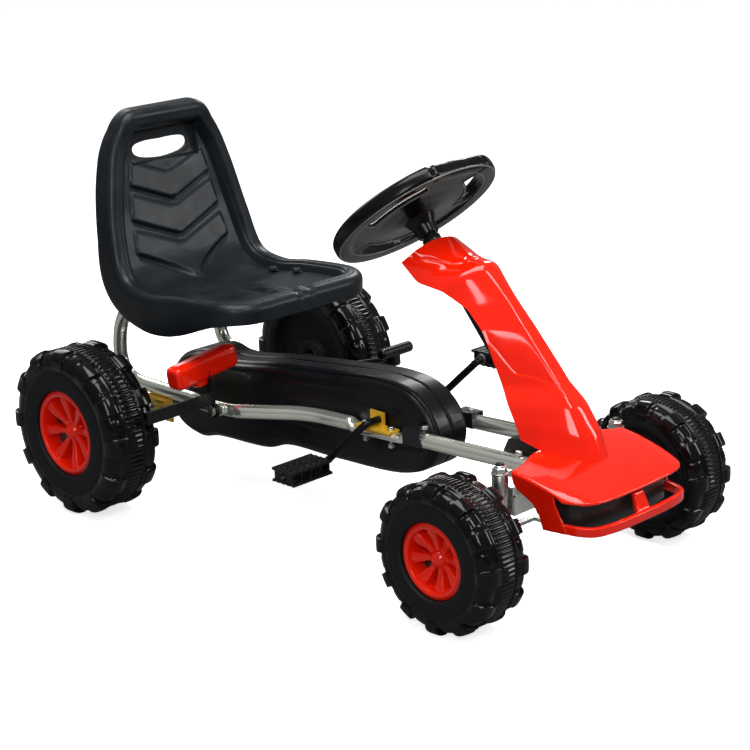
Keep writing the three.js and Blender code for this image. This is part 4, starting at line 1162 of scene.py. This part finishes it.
def hexagon(across, low, high, turn=0.0):
    """A hexagon with its corners chamfered at the top."""
    angle = np.arange(6) * math.pi / 3 + turn
    rows = [circle(angle, across / math.sqrt(3) * share, z)
            for z, share in ((low, 0.985), (low + 0.4, 1.0), (high - 0.9, 1.0), (high, 0.90))]
    return grid(rows, caps=True)


def washer(inner, outer, low, high):
    profile = [(low, inner), (low, outer), (high - 0.2, outer), (high, outer - 0.3), (high, inner)]
    return ring(profile, segments=36)


def thread(radius, low, high, pitch=1.2):
    """A bolt end with its thread as a run of ridges."""
    count = max(2, int((high - low) / (pitch / 2)))
    levels = np.linspace(low, high, count)
    profile = [(z, radius - (0.45 if k % 2 else 0.0)) for k, z in enumerate(levels)]
    return turned([(low, 0.4)] + profile + [(high + 0.3, radius - 1.0), (high + 0.3, 0.4)], "z", 24)


def bolt_shape(radius, length, head):
    """A bolt down from z = 0: chamfered head with a washer above, nut and thread at its far end."""
    return together(
        thread(radius, -length, 0.2),
        washer(radius, head * 0.62, 0, 1.2),
        hexagon(head, 1.2, 4.6, 0.3),
        hexagon(head, -length + 1.5, -length + 6, 0.8),
        washer(radius, head * 0.62, -length + 6, -length + 7),
    )


def add_fasteners():
    for side, sign in SIDES:
        top = RAIL["front_z"] + TUBE_RADIUS
        bolt = at(bolt_shape(3, top - 163 + 8, 10), sign * RAIL["x"], -330, top)
        piece("rail_front_bolt_" + side, bolt, "zinc", "frame")
        out = placed(sign * (LEVER_X + 2.3), PIVOT_Y, PIVOT_Z, sign * math.pi / 2, "Y")
        piece("pivot_bolt_" + side, moved(bolt_shape(4, 22, 13), out), "zinc", "frame")
        for end, y in SEAT_BOLTS:
            z = 333 - SEAT_RECESS - 0.1 * (y - 275)
            bolt = at(bolt_shape(3, 38, 13), sign * SEAT_TUBE_X, y, z)
            piece(f"seat_bolt_{end}_{side}", bolt, "steel", "frame")
        for k, y in enumerate((CRANK_Y - 30, CRANK_Y + 22)):
            screw = at(bolt_shape(2.8, 28, 9), sign * RAIL["x"], y, 171.8)
            piece(f"crank_plate_screw_{side}_{k}", screw, "zinc", "frame")
        screw = at(bolt_shape(2.5, 9, 9), sign * 49, -148, 185)
        piece("case_clamp_screw_" + side, screw, "zinc", "frame")


# ---------------------------------------------------------------- steering parts


def kingpin_nut():
    crown = ring([(196.5, 6.2), (196.5, 8.2), (198.4, 7.6), (199, 6.4)], segments=36)
    return together(washer(6.2, 12, 186.3, 188.6), hexagon(18, 188.6, 196.5, 0.4), crown)


def knuckle(sign):
    """Kingpin bolt, stub axle, steering arm and its pin, about the kingpin's own axis."""
    pin = together(thread(5.9, 180, 201, 1.6), turned([(97, 5.6), (98, 6), (180, 6), (180, 5.6)], "z", 32),
                   washer(6.0, 11, 111.2, 113.7))
    start = sign * (KINGPIN_X - 9) - sign * KINGPIN_X
    stub = moved(turned([(0, 6.6), (0.8, 7), (124, 7), (126.5, 5.5)], "z", 32),
                 placed(start, 0, FRONT["z"], sign * math.pi / 2, "Y"))
    arm = prism([(-8, -8), (8, -8), (7, 30), (7, 44), (4, 48), (-4, 48), (-7, 44), (-7, 30)], 97, 103)
    drop = at(turned([(76.5, 2.6), (77, 3), (104, 3), (105, 2.4)], "z", 20), 0, 40, 0)
    return together(pin, stub, arm, drop, box(20, 20, 15, 0, 0, 104))


def add_kingpins():
    sleeve = ring([(114, 6.3), (114, 10.6), (114.6, 11), (185.4, 11), (186, 10.6), (186, 6.3)], segments=48)
    for side, sign in SIDES:
        place = (sign * KINGPIN_X, FRONT["y"], 0)
        body = "knuckle_" + side
        piece("kingpin_sleeve_" + side, at(sleeve, *place), "zinc", "frame")
        piece("kingpin_nut_" + side, at(kingpin_nut(), *place), "zinc", body)
        piece(body, at(knuckle(sign), *place), "steel", body, bevel=0.8)


def add_column():
    foot = -478
    shaft = turned([(-22, 8.4), (-22.6, 9), (foot - 5.4, 9), (foot - 6, 8.4)], "z", 40)
    arm = prism([(-7, -46), (-4, -48), (4, -48), (7, -46), (7, 6), (-7, 6)], 0, 6)
    upright = placed(0, COLUMN_Y, COLUMN_Z, RAKE, "X")
    arm = moved(arm, upright @ placed(0, foot, 0, math.pi / 2, "X"))
    pin = moved(turned([(-23, 3.6), (-22.5, 4), (-1, 4)], "y", 24),
                upright @ Matrix.Translation((0, foot, -40)))
    piece("steering_column", together(on_column(shaft), arm, pin), "steel", "steering", bevel=0.6)
    band = [(-62, 9.2), (-62, 12.5), (-60.5, 13.6), (-50, 13.6), (-48.5, 12.5), (-47.5, 9.2)]
    collar = ring(band, segments=48)
    piece("column_collar", on_column(collar), "black", "steering", crease=45)


# ---------------------------------------------------------------- crank and pedals


def spindle(sign):
    """Where a pedal's spindle is, across from the middle of the crank."""
    return CRANK_Y - sign * CRANK_THROW, CRANK_Z + sign * CRANK_THROW


def add_crank():
    corners = []
    for sign in (-1, 1):
        tip, bend = (sign * CRANK_HALF, *spindle(sign)), (sign * 92, *spindle(sign))
        half = [tip, bend, (sign * 75, CRANK_Y, CRANK_Z)]
        corners += half if sign < 0 else half[::-1]
    path = finer(bent_path(corners, 9, 8), 5)
    piece("crank", tube(path, 5.5, 24), "steel", "crank", crease=60)
    points, faces = ring([(97, 5.4), (97, 8), (99, 8.4), (100.4, 8), (100.4, 5.4)], "x", 32)
    for side, sign in SIDES:
        piece("spindle_stop_" + side, at((points * (sign, 1, 1), faces), 0, *spindle(sign)), "zinc", "crank")


def pedal_shape():
    """Two ribbed treads on a recessed web around the spindle tube."""
    parts = [turned([(-37, 9), (37, 9)], "x", 32), box(66, 26, 16)]
    for side in (-1, 1):
        parts.append(box(78, 46, 2.6, 0, 0, side * 8.0))
        for y in (-21.2, -10.6, 0, 10.6, 21.2):
            parts.append(box(78, 3.4, 3.4, 0, y, side * 9.3))
        for x in (-37.2, -24.8, -12.4, 0, 12.4, 24.8, 37.2):
            parts.append(box(3.2, 45.5, 2.8, x, 0, side * 8.9))
    for x in (-36, -18, 0, 18, 36):
        parts.append(box(3, 38, 16, x, 0, 0))
    return parts


def add_pedals():
    bore = turned([(-60, 5.8), (60, 5.8)], "x", 24)
    for side, sign in SIDES:
        place = (sign * PEDAL_X, *spindle(sign))
        node = "pedal_" + side
        moulded(node, [at(part, *place) for part in pedal_shape()], 0.85, 2, "black", node,
                cut=[at(bore, *place)])


# ---------------------------------------------------------------- levers


def lever_eye(x):
    return ring([(-2, 4.3), (-2, 12), (2, 12), (2, 4.3)], "x", 40, x, PIVOT_Y, PIVOT_Z)


def add_brake():
    """Red rounded grip on a black strap, with the flat bar that presses on the tyre."""
    tilt = placed(*BRAKE_GRIP, math.radians(-7.5), "Y")
    ends = ((61, 0.62), (60, 0.8), (57.5, 0.93), (54, 0.99), (50, 1))
    points, faces = soft_block(15.5, 18, 4.6, [(-x, share) for x, share in ends] + list(ends[::-1]))
    boss = at(soft_block(17, 11, 4, ((-27, 0.8), (-26, 0.94), (-23, 1), (-8, 1.04))), -6, 0, 0)
    shapes = [moved(part, tilt) for part in ((np.roll(points, 1, axis=1), faces), boss)]
    slot = box(4.8, 18.8, 30, -LEVER_X, PIVOT_Y + 8, PIVOT_Z + 62 - 14.7)
    moulded("brake_grip", shapes, 1.1, 4, "red", "brake", cut=[slot])
    strap = [(PIVOT_Y - 6, PIVOT_Z + 2), (PIVOT_Y, PIVOT_Z + 40), (PIVOT_Y + 2, PIVOT_Z + 56),
             (PIVOT_Y + 14, PIVOT_Z + 56), (PIVOT_Y + 16, PIVOT_Z + 40), (PIVOT_Y + 12, PIVOT_Z + 2)]
    press = box(130, 4, 20, -LEVER_X - 63, PIVOT_Y, PIVOT_Z + 20)
    lever = together(side_plate(strap, -LEVER_X - 2, -LEVER_X + 2), lever_eye(-LEVER_X), press)
    piece("brake_lever", lever, "steel", "brake", bevel=0.7)


def add_shift():
    """Black rod running forward and up to a round grip across."""
    x = LEVER_X + 2.7
    start, end = np.array([x, PIVOT_Y, PIVOT_Z + 13]), np.array([x, 76, 208])
    rod = tube(finer(np.array([start, end]), 6), 4.5, 24)
    piece("shift_lever", together(rod, lever_eye(LEVER_X)), "steel", "shift", bevel=0.4)
    tip = [(-33, 5), (-32.4, 7.2), (-31, 8.4), (-29, 9)]
    ribs = [(-27 + k * 2.0, 9 - 0.5 * (k % 2)) for k in range(28)]
    handle = turned(tip + ribs + [(-z, r) for z, r in reversed(tip)], "x", 40, 118, 72, 221)
    block = soft_block(10, 10, 4, ((-11, 0.86), (-9.5, 0.98), (-8, 1), (9, 0.94), (11, 0.9)), 40)
    hole = tube(np.array([start, end + (0, -0.4, 0.2)]), 4.8, 24)
    moulded("shift_grip", [handle, at(block, x, 75, 209)], 0.8, 2, "black", "shift", cut=[hole])


# ---------------------------------------------------------------- CAD nodes carried over


def carried(node, look, bevel=0.6):
    """A CAD piece kept as it is, with soft edges and a finish."""
    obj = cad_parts[node]
    obj.data.materials.clear()
    obj.data.materials.append(LOOKS[look])
    obj.data.shade_smooth()
    soft_edges(obj, bevel, 30)


def add_carried():
    for side, _ in SIDES:
        carried("axle_plate_" + side, "yellow")
        carried("crank_plate_" + side, "yellow", 0.5)
        carried("case_clamp_" + side, "case", 2.0)
    for node in ("front_beam", "rear_axle", "tie_rod", "chainring", "rear_sprocket", "chain"):
        carried(node, "zinc")
    for node in ("cover_foot", "column_lower_bush", "column_upper_bush"):
        carried(node, "black")


# ---------------------------------------------------------------- stage


def add_stage():
    """A floor that is white to the camera and darker to the kart."""
    material, nodes, shader = tree_of("floor")
    seen = nodes.new("ShaderNodeLightPath").outputs["Is Camera Ray"]
    feed(
        shader,
        Base_Color=ramp(nodes, seen, (0.22, 0.22, 0.22), (0.94, 0.94, 0.94), 0.0, 1.0),
        Roughness=0.9,
        Specular_IOR_Level=0.1,
        Emission_Color=(1, 1, 1, 1),
        Emission_Strength=ramp(nodes, seen, 0.0, 0.72, 0.0, 1.0),
    )
    size = 14000
    floor = linked("floor", ([(-size, -size, 0), (size, -size, 0), (size, size, 0), (-size, size, 0)],
                             [(0, 1, 2, 3)]))
    floor.data.materials.append(material)


def add_world():
    """Even white for the camera; for the kart, a bright ceiling over darker walls."""
    world = bpy.data.worlds.new("studio")
    bpy.context.scene.world = world
    world.use_nodes = True
    nodes, links = world.node_tree.nodes, world.node_tree.links
    nodes.clear()
    where = nodes.new("ShaderNodeTexCoord")
    split = put(nodes, "ShaderNodeSeparateXYZ", Vector=where.outputs["Generated"])
    height = ramp(nodes, split.outputs["Z"], 0.0, 1.0, -1.0, 1.0)
    sky = ramp(nodes, height, (0.40, 0.40, 0.40), (1, 1, 1), 0.42, 0.95)
    light = put(nodes, "ShaderNodeBackground", Color=sky, Strength=0.32)
    seen = put(nodes, "ShaderNodeBackground", Color=(1, 1, 1, 1), Strength=1.0)
    path = nodes.new("ShaderNodeLightPath")
    choose = put(nodes, "ShaderNodeMixShader", Fac=path.outputs["Is Camera Ray"])
    links.new(light.outputs["Background"], choose.inputs[1])
    links.new(seen.outputs["Background"], choose.inputs[2])
    put(nodes, "ShaderNodeOutputWorld", Surface=choose.outputs["Shader"])


def add_light(name, place, target, wide, high, power):
    data = bpy.data.lights.new(name, "AREA")
    data.shape = "RECTANGLE"
    data.size, data.size_y = wide, high
    data.energy = power
    obj = bpy.data.objects.new(name, data)
    bpy.context.scene.collection.objects.link(obj)
    obj.location = place
    obj.rotation_mode = "QUATERNION"
    obj.rotation_quaternion = (Vector(target) - Vector(place)).to_track_quat("-Z", "Y")


def add_lights():
    add_light("over", (-0.3, -0.2, 2.6), (0, 0, 0.2), 1.6, 1.6, 60)
    add_light("front_right", (-2.6, -2.2, 1.9), (0, 0, 0.25), 0.9, 1.5, 34)
    add_light("front_left", (2.2, -2.4, 1.6), (0, 0, 0.3), 0.5, 1.6, 24)
    add_light("behind", (0.6, 2.8, 1.8), (0, 0, 0.3), 1.8, 1.0, 22)
    add_light("crown", (-0.06, -1.6, 2.1), (0, -0.3, 0.35), 0.6, 0.6, 12)
    add_light("far_side", (1.8, 1.1, 1.5), (0, -0.4, 0.2), 0.6, 0.5, 10)


def add_camera():
    """The camera's place was solved from the shape of the wheels and the frame."""
    azimuth, elevation, roll = math.radians(-44.37), math.radians(17.17), math.radians(-2.07)
    back = Vector((math.sin(azimuth) * math.cos(elevation), -math.cos(azimuth) * math.cos(elevation),
                   math.sin(elevation)))
    right = Vector((math.cos(azimuth), math.sin(azimuth), 0))
    up = back.cross(right)
    across = math.cos(roll) * right + math.sin(roll) * up
    upright = -math.sin(roll) * right + math.cos(roll) * up
    data = bpy.data.cameras.new("camera")
    data.sensor_width = 36
    data.lens = 95.51
    camera = bpy.data.objects.new("camera", data)
    bpy.context.scene.collection.objects.link(camera)
    turn = Matrix((across, upright, back)).transposed()
    camera.matrix_world = Matrix.Translation((-1.95898, -2.0046, 1.09004)) @ turn.to_4x4()
    bpy.context.scene.camera = camera


bpy.context.scene.view_settings.view_transform = "Standard"
add_wheels()
add_tubes()
add_seat()
add_cover_and_nose()
add_case()
add_steering_wheel()
add_column()
add_fasteners()
add_kingpins()
add_crank()
add_pedals()
add_brake()
add_shift()
add_carried()
add_stage()
add_world()
add_lights()
add_camera()
